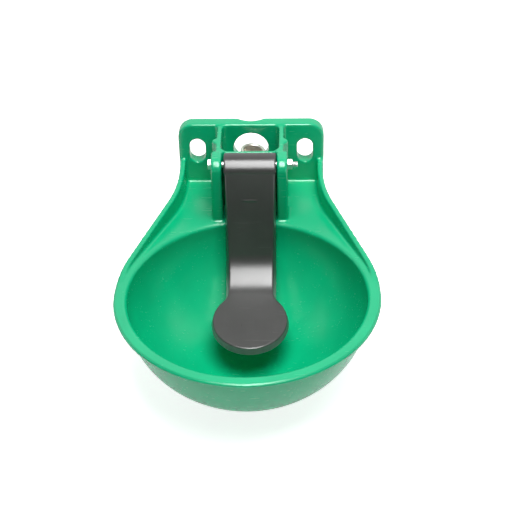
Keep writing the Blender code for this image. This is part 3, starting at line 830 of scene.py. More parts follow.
@dataclass(frozen=True)
class PlatedMetal(Finish):
    """Plated or drawn metal with clouded colour, tool marks and dull patches."""

    metallic: float = 1.0
    dark: float = 0.9
    pale: float = 1.06
    relief: float = 0.2
    relief_depth: float = 0.00005
    dull: Colour = (0.30, 0.28, 0.24)
    marks: Spot = (1, 0.05, 1)

    def layers(self, recipe: Recipe) -> list[Layer]:
        """The patterns of the finish, from the lowest up.

        Args:
            recipe: The material's node tree.

        Returns:
            The layers.
        """
        cloud = recipe.noise(320, detail=3, rough=0.6)
        stain = recipe.spread(recipe.noise(150, detail=4, rough=0.65), low=0.56, high=0.72)
        return [Layer(recipe.spread(cloud, low=0.3, high=0.7), self.shade(self.pale)),
                Layer(recipe.noise(2600, stretch=self.marks), rough=0.14, middle=0.5, height=0.6),
                Layer(cloud, height=0.4),
                Layer(stain, self.dull, share=0.35, rough=0.15)]


@dataclass(frozen=True)
class SoftPolymer(Finish):
    """Rubber or nylon with a fine matt grain and paler bloom."""

    bloom: Colour = (0.08, 0.08, 0.08)

    def layers(self, recipe: Recipe) -> list[Layer]:
        """The patterns of the finish, from the lowest up."""
        bloom = recipe.spread(recipe.noise(240, detail=4, rough=0.6), low=0.48, high=0.7)
        return [Layer(bloom, self.bloom, share=0.4),
                Layer(recipe.noise(3200), rough=0.1, middle=0.5, height=1.0)]


GREEN = MouldedGreen()
CHARCOAL = SatinCharcoal()
ZINC = PlatedMetal("bright_zinc", Slot.ZINC, (0.74, 0.75, 0.74), 0.32, dull=(0.50, 0.51, 0.50),
                   marks=(0.05, 1, 1))
BRASS = PlatedMetal("dull_plated_brass", Slot.BRASS, (0.88, 0.85, 0.77), 0.42,
                    dull=(0.52, 0.47, 0.38))
STEEL = PlatedMetal("stainless_steel", Slot.STEEL, (0.66, 0.66, 0.65), 0.22,
                    dull=(0.45, 0.44, 0.42))
RUBBER = SoftPolymer("black_rubber", Slot.RUBBER, (0.018, 0.018, 0.018), 0.72)
NYLON = SoftPolymer("natural_nylon", Slot.NYLON, (0.70, 0.69, 0.63), 0.42,
                    bloom=(0.80, 0.79, 0.74))


@dataclass
class Shared:
    """Sizes that the sub-assemblies have in common."""

    hinge_out: float = 0.0740
    hinge_rise: float = 0.0230
    ear_outer: float = 0.0386
    bolt_bore: float = 0.0033
    bore_steps: int = 32
    valve_z: float = -0.0085
    past: float = 0.0040
    sink: float = 0.0010
    lap: float = 0.0003

    def bolt_hole(self, half: float) -> Solid:
        """What the hinge bolt's hole cuts away, as far as half to both sides."""
        hole = DRAW.circle((-self.hinge_out, self.hinge_rise), self.bolt_bore, self.bore_steps)
        return Solid.side("bolt_hole", hole, -half, half)


@dataclass
class BowlMoulding(Shared):
    """The green moulding: bowl, rim, shelf, wings, hollow plate, ribs, ears and cross wall."""

    plate_half: float = 0.0763
    plate_depth: float = 0.0140
    plate_top: float = 0.0323
    plate_foot: float = -0.0745
    plate_corner: float = 0.0160
    plate_bevel: float = 0.0014
    foot_corner: float = 0.0120
    skin: float = 0.0040
    stay_half: float = 0.0019
    slot_half_spacing: float = 0.0565
    slot_half: float = 0.0083
    slot_rise: float = 0.0142
    slot_round: float = 0.99
    boss_wall: float = 0.0038
    hole_radius: float = 0.0182
    hole_rise: float = 0.0031
    post_radius: float = 0.0214
    saddle_depth: float = 0.0052
    rim_z: float = -0.0385
    rim_radius: float = 0.1287
    rim_width: float = 0.0115
    rim_thick: float = 0.0042
    step: float = 0.0007
    step_in: float = 0.0016
    centre_out: float = 0.2040
    wall: float = 0.0040
    depth: float = 0.1040
    fullness: float = 2.03
    roll: float = 0.0018
    roll_turns: tuple[float, ...] = (0.3, 0.6, 0.9, 1.2)
    gusset_reach: float = 0.58
    gusset_depth: float = 0.67
    wing_half: float = 0.0751
    wing_start: float = 0.0297
    wing_curve: float = 0.1180
    wing_wall: float = 0.0055
    wing_rise: float = 0.0290
    wing_end: float = 0.1920
    chamber_half: float = 0.0295
    rib_wall: float = 0.0052
    rib_top: float = 0.0312
    cross_out: float = 0.0620
    cross_wall: float = 0.0035
    cross_top: float = 0.0290
    chamber_round: float = 0.0055
    floor_gap: tuple[float, ...] = (-0.022, 0.022, -0.054, -0.020)
    floor_gap_round: float = 0.0060
    ear_inner: float = 0.0276
    ear_back: float = 0.0615
    ear_front: float = 0.0865
    ear_top: float = 0.0317
    ear_round: float = 0.0110
    ear_bevel: float = 0.0016
    bump_radius: float = 0.0042
    bump_out: float = 0.0415
    bump_top: float = 0.0309
    valve_hole: float = 0.0106
    grain: float = 0.00125
    passes: int = 5
    share: float = 0.36
    turn_steps: int = 192
    wall_steps: int = 40
    wing_steps: int = 16
    rim_steps: int = 64
    ring_steps: int = 64
    bump_steps: int = 40
    hole_steps: int = 72
    post_steps: int = 96
    valve_steps: int = 48

    def outline(self, inset: float) -> list[Flat]:
        """The plan outline from the plate round the bowl and back.

        Args:
            inset: How far it is moved in.

        Returns:
            The points in order.
        """
        run, span = self.centre_out - self.wing_start, self.wing_half + self.wing_curve
        splay = math.atan2(run, span) - math.acos((self.rim_radius + self.wing_curve)
                                                  / math.hypot(run, span))
        half, curve = self.wing_half - inset, self.wing_curve + inset
        points = [(-half, -self.skin)]
        points += DRAW.arc((-half - curve, -self.wing_start), curve, 0, -splay, self.wing_steps)
        points += DRAW.arc((0, -self.centre_out), self.rim_radius - inset, math.pi - splay,
                           3 * QUARTER, self.rim_steps)
        return points + [(-x, y) for x, y in reversed(points[:-1])]

    def bowl_profile(self, radius: float, depth: float, top: float) -> list[Flat]:
        """Points down the bowl's wall, from the rim to the middle of its bottom.

        Args:
            radius: The radius at the rim.
            depth: How far the bottom lies below the rim.
            top: The height of the first point, from the rim.

        Returns:
            Points of radius and height.
        """
        power = 2 / self.fullness
        turns = [QUARTER * k / self.wall_steps for k in range(self.wall_steps)]
        points = [(radius * math.cos(t) ** power, top - (depth + top) * math.sin(t) ** power)
                  for t in turns]
        return points + [(0, -depth)]

    def at_bowl(self) -> Matrix:
        """The bowl's own axis, at rim height."""
        return Matrix.Translation((0, -self.centre_out, self.rim_z))

    def slot(self, wall: float) -> list[Flat]:
        """The outline of the left fixing slot, with a wall round it."""
        x, half, rise = -self.slot_half_spacing, self.slot_half + wall, self.slot_rise + wall
        return DRAW.rounded(x - half, x + half, -rise, rise, (half * self.slot_round,) * 4)

    def wings(self) -> Solid:
        """The two side walls, which fall in a straight line from the plate to the rim.

        Returns:
            The walls.
        """
        low, high = self.rim_z - self.rim_thick, self.rim_z + self.wing_rise
        walls = Solid.plan("wings", self.outline(0), low, high + self.past)
        walls.cut(Solid.plan("between", self.outline(self.wing_wall), low - self.past,
                             high + 2 * self.past))
        return walls.trim((0, -self.wing_end, self.rim_z - self.step),
                          (0, -self.wing_rise - self.step, self.wing_end - self.plate_depth))

    def gussets(self) -> list[Solid]:
        """The two webs that tie the plate to the bowl under the shelf.

        Returns:
            Both webs.
        """
        top, back = self.rim_z - self.rim_thick / 2, self.sink - self.plate_depth
        reach = -self.centre_out + self.rim_radius * self.gusset_reach
        web = [(back, top), (back, self.plate_foot + self.skin),
               (reach, self.rim_z - self.depth * self.gusset_depth), (reach, top)]
        outer = self.chamber_half + self.rib_wall
        gusset = Solid.side("gusset", web, -outer, -self.chamber_half)
        return gusset.pair(self.chamber_half + outer)

    def plate(self) -> Solid:
        """The hollow plate with its slot bosses, hole ring, stays and tie.

        Returns:
            The plate.
        """
        half, skin, sink = self.plate_half, self.skin, self.sink
        radii = (self.foot_corner,) * 2 + (self.plate_corner,) * 2
        shape = DRAW.rounded(-half, half, self.plate_foot, self.plate_top, radii)
        plate = Solid.front("plate", shape, 0, self.plate_depth).crisp(self.plate_bevel)
        shape = DRAW.rounded(skin - half, half - skin, self.plate_foot + skin,
                             self.plate_top - skin, tuple(r - skin for r in radii))
        plate.cut(Solid.front("hollow", shape, -self.past, self.plate_depth - skin))
        x, level = -self.chamber_half - self.rib_wall / 2, self.rim_z - self.rim_thick / 2
        stay, deep = self.stay_half, (self.lap, self.plate_depth - skin / 2)
        shape = DRAW.rounded(x - stay, x + stay, self.plate_foot + sink, self.plate_top - sink)
        stays = Solid.front("stay", shape, *deep).pair(-2 * x)
        bosses = Solid.front("boss", self.slot(self.boss_wall), *deep)
        shape = DRAW.circle((0, self.hole_rise), self.hole_radius + self.boss_wall,
                            self.ring_steps)
        ring = Solid.front("hole_ring", shape, *deep)
        shape = DRAW.rounded(sink - half, half - sink, level - stay, level + stay)
        return plate.add(*bosses.pair(2 * self.slot_half_spacing), *stays, ring,
                         Solid.front("tie", shape, *deep))

    def housing(self) -> list[Solid]:
        """Ribs, cross wall, ears and the half-round bumps beside the ribs.

        Returns:
            The solids to add.
        """
        base, curve = self.rim_z - self.rim_thick / 2, self.chamber_round
        half, high = self.chamber_half + self.rib_wall, self.rib_top + self.past
        box = DRAW.rounded(-half, half, -self.cross_out, self.sink - self.plate_depth)
        void = DRAW.rounded(-self.chamber_half, self.chamber_half, self.cross_wall - self.cross_out,
                            self.lap - self.plate_depth, (curve,) * 4)
        dip_half = self.chamber_half - curve / 2
        dip = DRAW.rounded(-dip_half, dip_half, self.cross_top, high, (curve / 2,) * 2 + (0, 0))
        ribs = Solid.plan("ribs", box, base, self.rib_top)
        ribs.cut(Solid.plan("void", void, base - self.sink, high),
                 Solid.front("dip", dip, self.cross_out - self.cross_wall - curve,
                             self.cross_out + self.past))
        shape = DRAW.rounded(-self.ear_front, -self.ear_back, base - self.sink, self.ear_top,
                             (0, 0, self.ear_round / 4, self.ear_round))
        ear = Solid.side("ear", shape, -self.ear_outer, -self.ear_inner).crisp(self.ear_bevel)
        post = DRAW.circle((-half, -self.bump_out), self.bump_radius, self.bump_steps)
        bump = Solid.plan("bump", post, base, self.bump_top)
        return [ribs, *ear.pair(self.ear_inner + self.ear_outer), *bump.pair(2 * half)]

    def openings(self) -> list[Solid]:
        """Everything that is cut through the moulding.

        Returns:
            The solids to cut away.
        """
        past, deep = self.past, self.plate_depth + self.past
        hole = DRAW.circle((0, self.hole_rise), self.hole_radius, self.hole_steps)
        post = DRAW.circle((0, self.post_radius - self.saddle_depth), self.post_radius,
                           self.post_steps)
        valve = DRAW.circle((0, self.valve_z), self.valve_hole, self.valve_steps)
        gap = DRAW.rounded(*self.floor_gap, (self.floor_gap_round,) * 4)
        slot = Solid.front("slot", self.slot(0), -past, deep)
        return slot.pair(2 * self.slot_half_spacing) + [
            Solid.front("service_hole", hole, -past, deep),
            Solid.plan("post", post, self.plate_foot - past, self.plate_top + past),
            Solid.front("valve_hole", valve, self.cross_out - 2 * past, self.cross_out + past),
            self.bolt_hole(self.ear_outer + past),
            Solid.plan("floor_gap", gap, self.rim_z - self.rim_thick - past, self.rim_z + past)]

    def build(self) -> None:
        """Models the moulding and softens it as one skin."""
        low, edge = self.rim_z - self.rim_thick, self.rim_radius - self.rim_width
        body = Solid.plan("bowl_moulding", self.outline(self.step_in), low + self.lap, self.rim_z)
        lip = Solid.plan("lip", self.outline(0), low, self.rim_z - self.step)
        top = -self.rim_thick / 2
        outside = [(0, top)] + self.bowl_profile(edge + self.wall / 2, self.depth, top)
        shell = Solid.turned("shell", outside, self.turn_steps, self.at_bowl())
        body.add(lip, self.wings(), shell, *self.gussets(), self.plate())
        wide, roll = edge + self.roll, self.roll
        lead = [(0, self.past), (wide, self.past), (wide, 0)]
        lead += [(wide - roll * math.sin(t), -roll + roll * math.cos(t)) for t in self.roll_turns]
        inside = self.bowl_profile(edge - self.wall / 2 + self.lap, self.depth - self.wall, -roll)
        body.cut(Solid.turned("cavity", lead + inside, self.turn_steps, self.at_bowl()))
        body.add(*self.housing()).cut(*self.openings())
        body.melt(self.grain, self.passes, self.share).hand_over(GREEN, "bowl_body")


@dataclass
class PressTongue(Shared):
    """The tongue: barrel, channelled blade, wide bend, and a neck that flares into the disc."""

    barrel_radius: float = 0.0116
    front_radius: float = 0.0155
    front_turn: float = math.radians(127.7)
    barrel_end: float = -1.75
    barrel_half: float = 0.0261
    barrel_bevel: float = 0.0020
    lean_top: float = math.radians(14)
    lean_low: float = math.radians(21)
    slope: float = math.radians(9)
    blade: float = 0.0858
    bend: float = 0.0420
    foot: float = 0.0336
    top_half: float = 0.0250
    neck_half: float = 0.0231
    back_half: float = 0.0258
    neck_round: float = 0.0205
    edge: float = 0.0012
    edge_share: float = 0.3
    flange_top: float = 0.0095
    flange_low: float = 0.0075
    web: float = 0.0036
    side_wall: float = 0.0034
    channel_start: float = 0.0300
    disc_radius: float = 0.0373
    disc_draft: float = 0.0014
    disc_thick: float = 0.0088
    disc_edge: float = 0.0011
    disc_drop: float = 0.00005
    strip_inside: float = 0.0006
    pocket: float = 0.0048
    pad_half: float = 0.0070
    pad_rise: float = 0.0045
    pad_round: float = 0.0016
    pad_out: float = 0.0807
    bore_half: float = 0.0400
    shift: float = 0.0008
    lean_across: float = math.radians(0.15)
    blade_steps: int = 14
    bend_steps: int = 20
    foot_steps: int = 24
    disc_steps: int = 160
    pocket_steps: int = 96
    edge_steps: int = 6
    front_steps: int = 48
    back_steps: int = 40
    grain: float = 0.0008
    passes: int = 3

    def front_centre(self) -> Vector:
        """The middle of the wide arc that the barrel has in front, as y and z."""
        gap = self.front_radius - self.barrel_radius
        return Vector((-self.hinge_out + gap * math.cos(self.front_turn),
                       self.hinge_rise - gap * math.sin(self.front_turn)))

    def stations(self) -> list[tuple[Vector, Vector, float]]:
        """Places down the tongue's front face.

        Returns:
            The point as y and z, the way back, and the distance along, of each.
        """
        back = Vector((math.cos(self.lean_top), -math.sin(self.lean_top)))
        spot = self.front_centre() - back * (self.front_radius - self.lap)
        made = [(spot, back, 0.0)]
        last, run = QUARTER - self.slope, 0.0
        legs = [(self.lean_top, self.lean_low, self.blade, self.blade_steps),
                (self.lean_low, last, self.bend * (last - self.lean_low), self.bend_steps),
                (last, last, self.foot, self.foot_steps)]
        for start, end, length, steps in legs:
            for k in range(steps):
                middle = start + (end - start) * (k + 0.5) / steps
                here = start + (end - start) * (k + 1) / steps
                spot = spot - Vector((math.sin(middle), math.cos(middle))) * (length / steps)
                run += length / steps
                made.append((spot, Vector((math.cos(here), -math.sin(here))), run))
        return made

    def half(self, run: float, total: float) -> float:
        """Half the width of the front face: blade, straight neck, round shoulder, then the disc.

        Args:
            run: The distance along the face.
            total: The whole length of the face.

        Returns:
            Half its width there.
        """
        reach, neck, disc, curve = total - run, self.neck_half, self.disc_radius, self.neck_round
        start = math.sqrt((disc + curve) ** 2 - (neck + curve) ** 2)
        if run <= self.blade:
            return self.top_half + (neck - self.top_half) * run / self.blade
        if reach >= start:
            return neck
        if reach > start * disc / (disc + curve):
            return neck + curve - math.sqrt(curve ** 2 - (start - reach) ** 2)
        return math.sqrt(disc ** 2 - reach ** 2) - self.strip_inside

    def skins(self) -> tuple[Solid, Solid]:
        """The solid strip of blade, bend and foot, and the channel that is cut in its back.

        Returns:
            The strip and the channel.
        """
        stations = self.stations()
        total = stations[-1][2]
        strip, channel = [], []
        for spot, back, run in stations:
            half = self.half(run, total)
            deep = self.flange_top + (self.flange_low - self.flange_top) * run / total
            shy = self.edge * self.edge_share
            rows = ((half - self.edge, 0), (half - shy, shy), (half, self.edge),
                    (max(self.back_half, half + self.disc_draft), deep))
            strip.append([(-x, *(spot + back * d)) for x, d in rows]
                         + [(x, *(spot + back * d)) for x, d in reversed(rows)])
            if run >= self.channel_start:
                inner = half - self.side_wall
                floor, far = spot + back * self.web, spot + back * (deep + self.past)
                channel.append([(-inner, *floor), (-inner, *far), (inner, *far),
                                (inner, *floor)])
        return Solid.loft("press_tongue", strip), Solid.loft("channel", channel)

    def disc(self) -> tuple[Solid, Solid]:
        """The round disc with its drafted side, and the pocket in its underside.

        Returns:
            The disc and the pocket.
        """
        end, back, _ = self.stations()[-1]
        tilt = (Matrix.Translation((0, *(end + back * self.disc_drop)))
                @ Matrix.Rotation(self.slope, 4, "X"))
        edge, thick, wide = self.disc_edge, self.disc_thick, self.disc_radius + self.disc_draft
        high = DRAW.arc((self.disc_radius - edge, -edge), edge, QUARTER, 0, self.edge_steps)
        low = DRAW.arc((wide - edge, edge - thick), edge, 0, -QUARTER, self.edge_steps)
        disc = Solid.turned("disc", [(0, 0)] + high + low + [(0, -thick)], self.disc_steps, tilt)
        pocket = Solid.rod("pocket", self.disc_radius - self.side_wall, self.pocket - thick,
                           -thick - self.past, self.pocket_steps, tilt)
        return disc, pocket

    def barrel(self) -> Solid:
        """The barrel round the hinge bolt: close at the back, wide in front, with rounded ends.

        Returns:
            The barrel.
        """
        turn = math.pi - self.front_turn
        shape = DRAW.arc(tuple(self.front_centre()), self.front_radius, math.pi - self.lean_top,
                         turn, self.front_steps)
        shape += DRAW.arc((-self.hinge_out, self.hinge_rise), self.barrel_radius, turn,
                          self.barrel_end, self.back_steps)[1:]
        barrel = Solid.side("barrel", shape, -self.barrel_half, self.barrel_half)
        return barrel.crisp(self.barrel_bevel)

    def pad(self) -> Solid:
        """The pad at the back that pushes the valve's pin.

        Returns:
            The pad.
        """
        face = next(spot[0] for spot, _, _ in self.stations() if spot[1] < self.valve_z)
        shape = DRAW.rounded(face + self.web / 2, -self.pad_out, self.valve_z - self.pad_rise,
                             self.valve_z + self.pad_rise, (0, self.pad_round, self.pad_round, 0))
        return Solid.side("pad", shape, -self.pad_half, self.pad_half)

    def build(self) -> None:
        """Models the tongue, softens it as one skin and hangs it a little to the right."""
        strip, channel = self.skins()
        disc, pocket = self.disc()
        strip.add(disc).cut(channel, pocket).add(self.barrel(), self.pad())
        strip.cut(self.bolt_hole(self.bore_half)).melt(self.grain, self.passes)
        pivot = Matrix.Translation((0, -self.hinge_out, self.hinge_rise))
        turn = pivot @ Matrix.Rotation(-self.lean_across, 4, "Y") @ pivot.inverted()
        strip.move(Matrix.Translation((self.shift, 0, 0)) @ turn)
        strip.hand_over(CHARCOAL, "tongue", Ride.TONGUE)


@dataclass
class Fastener(Shared):
    """Hexagons, chamfers and threads, which the hinge and the valve share."""

    round_steps: int = 72
    thread_steps: int = 40
    face_share: float = 0.97
    chamfer: float = 0.55
    tooth: tuple[float, ...] = (0.12, 0.44, 0.56, 0.88)
    thread_lead: float = 1.5
    end_taper: float = 0.0002

    def hexagon(self, name: str, flats: float, low: float, high: float, place: Matrix) -> Solid:
        """A hexagon whose corners are turned down as on a real nut.

        Args:
            name: The piece's name.
            flats: Its width across the flats.
            low: Where it starts along its axis.
            high: Where it ends.
            place: Where the axis goes.

        Returns:
            The solid.
        """
        corner, flat = flats / 2 / math.cos(math.pi / 6), flats / 2 * self.face_share
        drop = (corner - flat) * self.chamfer
        dome = [(0, low), (flat, low), (corner, low + drop), (corner, high - drop), (flat, high),
                (0, high)]
        item = Solid.plan(name, DRAW.hexagon(flats), low, high)
        return item.keep(Solid.turned("dome", dome, self.round_steps)).move(place)

    def nut(self, name: str, flats: float, low: float, high: float, bore: float, steps: int,
            place: Matrix) -> Solid:
        """A nut with a plain bore.

        Args:
            name: The piece's name.
            flats: Its width across the flats.
            low: Where it starts along its axis.
            high: Where it ends.
            bore: The bore's radius.
            steps: How many steps the bore has.
            place: Where the axis goes.

        Returns:
            The nut.
        """
        hole = (low - self.past, high + self.past)
        nut = self.hexagon(name, flats, low, high, place)
        return nut.cut(Solid.rod("bore", bore, *hole, steps, place)).crisp()

    def thread(self, name: str, crest: float, root: float, pitch: float, low: float, high: float,
               place: Matrix) -> Solid:
        """A threaded rod: a zigzag line screwed round, with its ends turned off and chamfered.

        Args:
            name: The piece's name.
            crest: The radius over the thread.
            root: The radius at its root.
            pitch: The rise of one turn.
            low: Where it starts along its axis.
            high: Where it ends.
            place: Where the axis goes.

        Returns:
            The closed solid.
        """
        turns, base = math.ceil((high - low) / pitch) + 2, low - self.thread_lead * pitch
        spots: list[Spot] = []
        for k in range(turns):
            z = base + k * pitch
            spots.append((root, 0, z))
            spots += [(radius, 0, z + pitch * share)
                      for radius, share in zip((root, crest, crest, root), self.tooth)]
        spots.append((root, 0, base + turns * pitch))
        item = Solid.line(name, spots)
        bpy.ops.object.mode_set(mode="OBJECT")
        item.modify("SCREW", angle=math.tau, screw_offset=pitch, steps=self.thread_steps,
                    render_steps=self.thread_steps, use_smooth_shade=True)
        item.edit()
        Solid.weld()
        item.fill()
        wide, end = crest + pitch, root - self.end_taper
        rod = [(0, low), (wide, low), (wide, high + end - wide), (end, high), (0, high)]
        return item.keep(Solid.turned("rod", rod, self.round_steps)).move(place)


@dataclass
class Hinge(Fastener):
    """The bolt that carries the tongue, and its nut."""

    head: float = 0.0031
    nut_deep: float = 0.0048
    past_nut: float = 0.0054
    flats: float = 0.0100
    radius: float = 0.0030
    root: float = 0.00255
    pitch: float = 0.0010
    shank_end: float = 0.0300
    root_end: float = 0.0305
    shank_steps: int = 48

    def axis(self) -> Matrix:
        """The hinge's axis, growing towards +X."""
        place = Matrix.Translation((0, -self.hinge_out, self.hinge_rise))
        return place @ Matrix.Rotation(QUARTER, 4, "Y")

    def build(self) -> None:
        """Models the bolt and the nut."""
        seat, axis = self.ear_outer, self.axis()
        bolt = self.hexagon("hinge_bolt_bright", self.flats, -seat - self.head, -seat, axis)
        profile = [(0, -seat - self.sink), (self.radius, -seat - self.sink),
                   (self.radius, self.shank_end), (self.root, self.root_end), (0, self.root_end)]
        shank = Solid.turned("shank", profile, self.shank_steps, axis)
        thread = self.thread("thread", self.radius, self.root, self.pitch, self.shank_end,
                             seat + self.nut_deep + self.past_nut, axis)
        bolt.add(shank, thread).crisp().hand_over(ZINC, "hinge_bolt")
        nut = self.nut("hinge_nut_bright", self.flats, seat, seat + self.nut_deep,
                       self.bolt_bore, self.shank_steps, axis)
        nut.hand_over(ZINC, "hinge_nut")


@dataclass
class AngleValve(Fastener):
    """The angle valve: cast body with its pipe socket, lock nut, spring plug and spring."""

    nozzle: float = 0.0102
    nozzle_front: float = 0.0725
    nozzle_edge: float = 0.0010
    shoulder: float = 0.0162
    shoulder_front: float = 0.0562
    shoulder_back: float = 0.0522
    tube: float = 0.0134
    rear: float = 0.0230
    chamber: float = 0.0085
    chamber_front: float = 0.0547
    nozzle_bore: float = 0.0062
    socket_radius: float = 0.0128
    socket_bore: float = 0.0094
    socket_edge: float = 0.0006
    socket_out: float = 0.0385
    socket_rise: float = 0.0260
    socket_lean: float = math.radians(7)
    socket_depth: float = 0.0150
    mouth_flare: float = 0.0050
    mouth_deep: float = 0.0010
    port: float = 0.0057
    pipe_pitch: float = 0.0018
    pipe_crest: float = 0.0009
    pipe_root: float = 0.0002
    lock_flats: float = 0.0270
    lock_back: float = 0.0623
    lock_front: float = 0.0693
    plug_flats: float = 0.0220
    plug_thread: float = 0.0082
    plug_front: float = 0.0310
    plug_back: float = 0.0205
    sleeve_front: float = 0.0380
    sleeve: float = 0.0039
    sleeve_bore: float = 0.0028
    sleeve_floor: float = 0.0300
    head_back: float = 0.0176
    head_front: float = 0.0212
    spring_low: float = 0.0313
    spring_high: float = 0.0414
    spring_mean: float = 0.0048
    wire: float = 0.0005
    wire_steps: int = 16
    coil_steps: int = 36
    turns: int = 5
    travel: float = 0.0024
    inner_steps: int = 64
    grain: float = 0.00055
    passes: int = 3
    share: float = 0.35

    def axis(self) -> Matrix:
        """The valve's line: height 0 on the wall plane, growing outwards."""
        return Matrix.Translation((0, 0, self.valve_z)) @ Matrix.Rotation(QUARTER, 4, "X")

    def socket_axis(self) -> Matrix:
        """The pipe socket's line, which leans to the right."""
        place = Matrix.Translation((0, -self.socket_out, self.valve_z))
        return place @ Matrix.Rotation(self.socket_lean, 4, "Y")

    def body(self) -> None:
        """Models the cast body, softened first and then bored and threaded."""
        steps, up = self.inner_steps, self.socket_axis()
        front, edge = self.nozzle_front, self.nozzle_edge
        profile = [(0, front), (self.nozzle - edge, front)]
        profile += DRAW.stairs(front - edge, (self.nozzle, self.shoulder_front),
                               (self.shoulder, self.shoulder_back), (self.tube, self.rear))[1:]
        body = Solid.turned("valve_casting", profile, self.round_steps, self.axis())
        wide, rise, edge = self.socket_radius, self.socket_rise, self.socket_edge
        profile = [(0, 0), (wide, 0), (wide, rise - edge), (wide - edge, rise), (0, rise)]
        body.add(Solid.turned("socket", profile, self.round_steps, up))
        body.melt(self.grain, self.passes, self.share)
        front, rear = front + self.past, self.rear - self.past
        profile = DRAW.stairs(front, (self.nozzle_bore, self.chamber_front), (self.chamber, rear))
        bores = Solid.turned("bores", profile, steps, self.axis())
        bore, deep, high = self.socket_bore, rise - self.socket_depth, rise + self.past
        profile = [(0, high), (bore + self.mouth_flare, high), (bore, rise - self.mouth_deep),
                   (bore, deep), (self.port, deep), (self.port, 0), (0, 0)]
        mouth = Solid.turned("mouth", profile, steps, up)
        thread = self.thread("pipe_thread", bore + self.pipe_crest, bore - self.pipe_root,
                             self.pipe_pitch, deep + self.sink, high, up)
        body.cut(bores, mouth, thread).crisp().hand_over(BRASS, "valve_body")

    def lock_nut(self) -> None:
        """Models the nut that clamps the valve in the cross wall."""
        nut = self.nut("valve_lock_nut_turned", self.lock_flats, self.lock_back, self.lock_front,
                       self.nozzle + self.lap, self.inner_steps, self.axis())
        nut.hand_over(BRASS, "valve_lock_nut")

    def plug(self) -> None:
        """Models the plug that closes the valve and guides the stem."""
        head = self.hexagon("spring_plug_turned", self.plug_flats, self.head_back,
                            self.head_front, self.axis())
        profile = DRAW.stairs(self.sleeve_floor, (self.sleeve_bore, self.sleeve_front),
                              (self.sleeve, self.plug_front), (self.plug_thread, self.plug_back))
        head.add(Solid.turned("plug_stem", profile, self.inner_steps, self.axis()))
        head.crisp().hand_over(BRASS, "spring_plug")

    def spring(self) -> None:
        """Models the return spring in one fixed shape; the real spring shortens as the stem is
        pressed in.
        """
        Solid.clear()
        bpy.ops.mesh.primitive_circle_add(
            vertices=self.wire_steps, radius=self.wire, fill_type="NOTHING",
            location=(self.spring_mean, 0, self.spring_low + self.wire), rotation=(QUARTER, 0, 0))
        spring = Solid.settle("return_spring_wound")
        length = self.spring_high - self.spring_low
        spring.modify("SCREW", angle=math.tau, screw_offset=(length - 2 * self.wire) / self.turns,
                      iterations=self.turns, steps=self.coil_steps, render_steps=self.coil_steps,
                      use_merge_vertices=True, merge_threshold=MERGE, use_smooth_shade=True)
        spring.edit()
        spring.fill().move(self.axis()).crisp().hand_over(STEEL, "return_spring")
        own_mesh(spring.item)

    def build(self) -> None:
        """Models the valve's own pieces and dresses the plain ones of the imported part."""
        self.body()
        self.lock_nut()
        self.plug()
        self.spring()
        dressed = {"valve_gasket": RUBBER, "plug_seal": RUBBER, "seat_o_ring": RUBBER,
                   "stem_seal": RUBBER, "seat_insert": NYLON, "valve_stem": STEEL,
                   "seal_retainer": BRASS}
        for name, finish in dressed.items():
            finish.paint(frame["nodes"][name])
            LOG.info("%s dressed in %s", name, finish.title)


@dataclass(frozen=True)
class Lamp:
    """A soft lamp: its place, width and height, watts, and whether it makes the highlights."""

    name: str
    spot: Spot
    size: Flat
    power: float
    gloss: bool

    def hang(self, target: Spot) -> None:
        """Adds the lamp. One lamp makes the highlights and leaves the even light to the other.

        Args:
            target: The point that it is turned to.
        """
        bpy.ops.object.light_add(type="AREA", location=self.spot)
        lamp = bpy.context.object
        lamp.name = self.name
        lamp.data.shape = "RECTANGLE"
        lamp.data.size, lamp.data.size_y = self.size
        lamp.data.energy = self.power
        way = Vector(target) - Vector(self.spot)
        lamp.rotation_euler = way.to_track_quat("-Z", "Y").to_euler()
        lamp.visible_camera = False
        lamp.visible_glossy = self.gloss
        lamp.visible_diffuse = not self.gloss


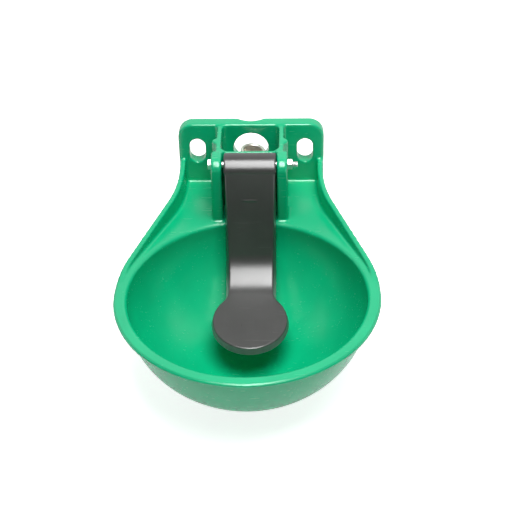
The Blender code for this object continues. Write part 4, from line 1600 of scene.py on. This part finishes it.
@dataclass
class Studio:
    """Plain pale floor, soft lamps, world and the camera at the photograph's angle."""

    floor_z: float = -0.1427
    floor_y: float = -0.2
    floor_size: float = 9.0
    floor_tint: float = 0.80
    floor_glow: float = 0.84
    mirror_glow: float = 0.50
    floor_fade: Flat = (-0.95, -0.50)
    world_level: float = 0.45
    world_span: Flat = (-0.1, 0.6)
    ceiling_level: float = 0.10
    backdrop_height: Flat = (0.84, 0.99)
    backdrop_span: Flat = (-0.1, 0.3)
    target: Spot = (0.0, -0.17, 0.0)
    highlights: Lamp = Lamp("front_softbox", (0.04, -0.66, 1.20), (0.42, 1.42), 28.5, True)
    daylight: Lamp = Lamp("overhead_softbox", (0.14, -0.42, 1.30), (0.90, 0.90), 26.0, False)
    camera_spot: Spot = (0.04767, -1.20891, 0.78532)
    camera_turn: float = math.radians(2.23)
    camera_fall: float = math.radians(37.7)
    camera_roll: float = math.radians(-1.48)
    focal_pixels: float = 1355.0
    frame_pixels: float = 510.0
    sensor: float = 36.0
    clip: Flat = (0.05, 30)

    def mirrored(self, recipe: Recipe) -> Signal:
        """1 for rays that a mirror or glass sends, else 0."""
        seen = recipe.ray("Camera").most(recipe.ray("Glossy")).most(recipe.ray("Transmission"))
        return seen - recipe.ray("Camera")

    def floor(self) -> None:
        """A large pale floor that keeps the shadow and looks white around it."""
        Solid.clear()
        bpy.ops.mesh.primitive_plane_add(size=self.floor_size,
                                         location=(0, self.floor_y, self.floor_z))
        floor = Solid.settle("studio_floor").item
        paper = bpy.data.materials.new("studio_paper")
        paper.use_nodes = True
        recipe = Recipe(paper.node_tree)
        plain = recipe.node("ShaderNodeBsdfDiffuse",
                            sockets={"Color": (self.floor_tint,) * 3 + (1,)})
        fade = recipe.spread(recipe.part("Y"), *self.floor_fade)
        strength = (self.mirrored(recipe) * fade * self.mirror_glow
                    + recipe.ray("Camera") * self.floor_glow)
        glow = recipe.node("ShaderNodeEmission", sockets={"Strength": strength})
        recipe.end(recipe.node("ShaderNodeAddShader", sockets={0: plain, 1: glow}))
        floor.data.materials.append(paper)

    def world(self) -> None:
        """Dim even light; the camera sees white, a mirror a white backdrop under a dark ceiling."""
        world = bpy.data.worlds.new("studio_world")
        bpy.context.scene.world = world
        world.use_nodes = True
        recipe = Recipe(world.node_tree)
        way = {0: recipe.node("ShaderNodeTexCoord", out="Generated")}
        height = recipe.node("ShaderNodeSeparateXYZ", sockets=way, out="Z")
        behind = recipe.node("ShaderNodeSeparateXYZ", sockets=way, out="Y")
        backdrop = (recipe.spread(height, *self.backdrop_height, 1.0, 0.0)
                    * recipe.spread(behind, *self.backdrop_span))
        backdrop = backdrop * (1 - self.ceiling_level) + self.ceiling_level
        camera, mirrored = recipe.ray("Camera"), self.mirrored(recipe)
        soft = recipe.spread(behind, *self.world_span) * self.world_level
        strength = camera + mirrored * backdrop + (1 - camera - mirrored) * soft
        recipe.end(recipe.node("ShaderNodeBackground", sockets={"Color": (1, 1, 1, 1),
                                                                "Strength": strength}),
                   "ShaderNodeOutputWorld")

    def camera(self) -> None:
        """The camera where the photograph was taken from."""
        turn, fall, roll = self.camera_turn, self.camera_fall, self.camera_roll
        ahead = Vector((-math.sin(turn) * math.cos(fall), math.cos(turn) * math.cos(fall),
                        -math.sin(fall)))
        right = ahead.cross(Vector((0, 0, 1))).normalized()
        up = right.cross(ahead)
        across = right * math.cos(roll) + up * math.sin(roll)
        upright = up * math.cos(roll) - right * math.sin(roll)
        bpy.ops.object.camera_add(location=self.camera_spot)
        camera = bpy.context.object
        camera.name = "photo_camera"
        basis = Matrix((across, upright, -ahead)).transposed().to_4x4()
        camera.matrix_world = Matrix.Translation(self.camera_spot) @ basis
        camera.data.sensor_width = self.sensor
        camera.data.lens = self.focal_pixels * self.sensor / self.frame_pixels
        camera.data.clip_start, camera.data.clip_end = self.clip
        bpy.context.scene.camera = camera

    def build(self) -> None:
        """Sets up the whole studio."""
        self.floor()
        self.world()
        self.highlights.hang(self.target)
        self.daylight.hang(self.target)
        self.camera()
        bpy.context.scene.view_settings.view_transform = "Standard"
        LOG.info("studio is set")


def main() -> None:
    """Builds every piece and sets up the studio."""
    logging.basicConfig(level=logging.INFO, format="%(name)s: %(message)s")
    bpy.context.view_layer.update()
    BowlMoulding().build()
    PressTongue().build()
    Hinge().build()
    AngleValve().build()
    Studio().build()
    bpy.context.view_layer.update()


if __name__ == "__main__":
    main()
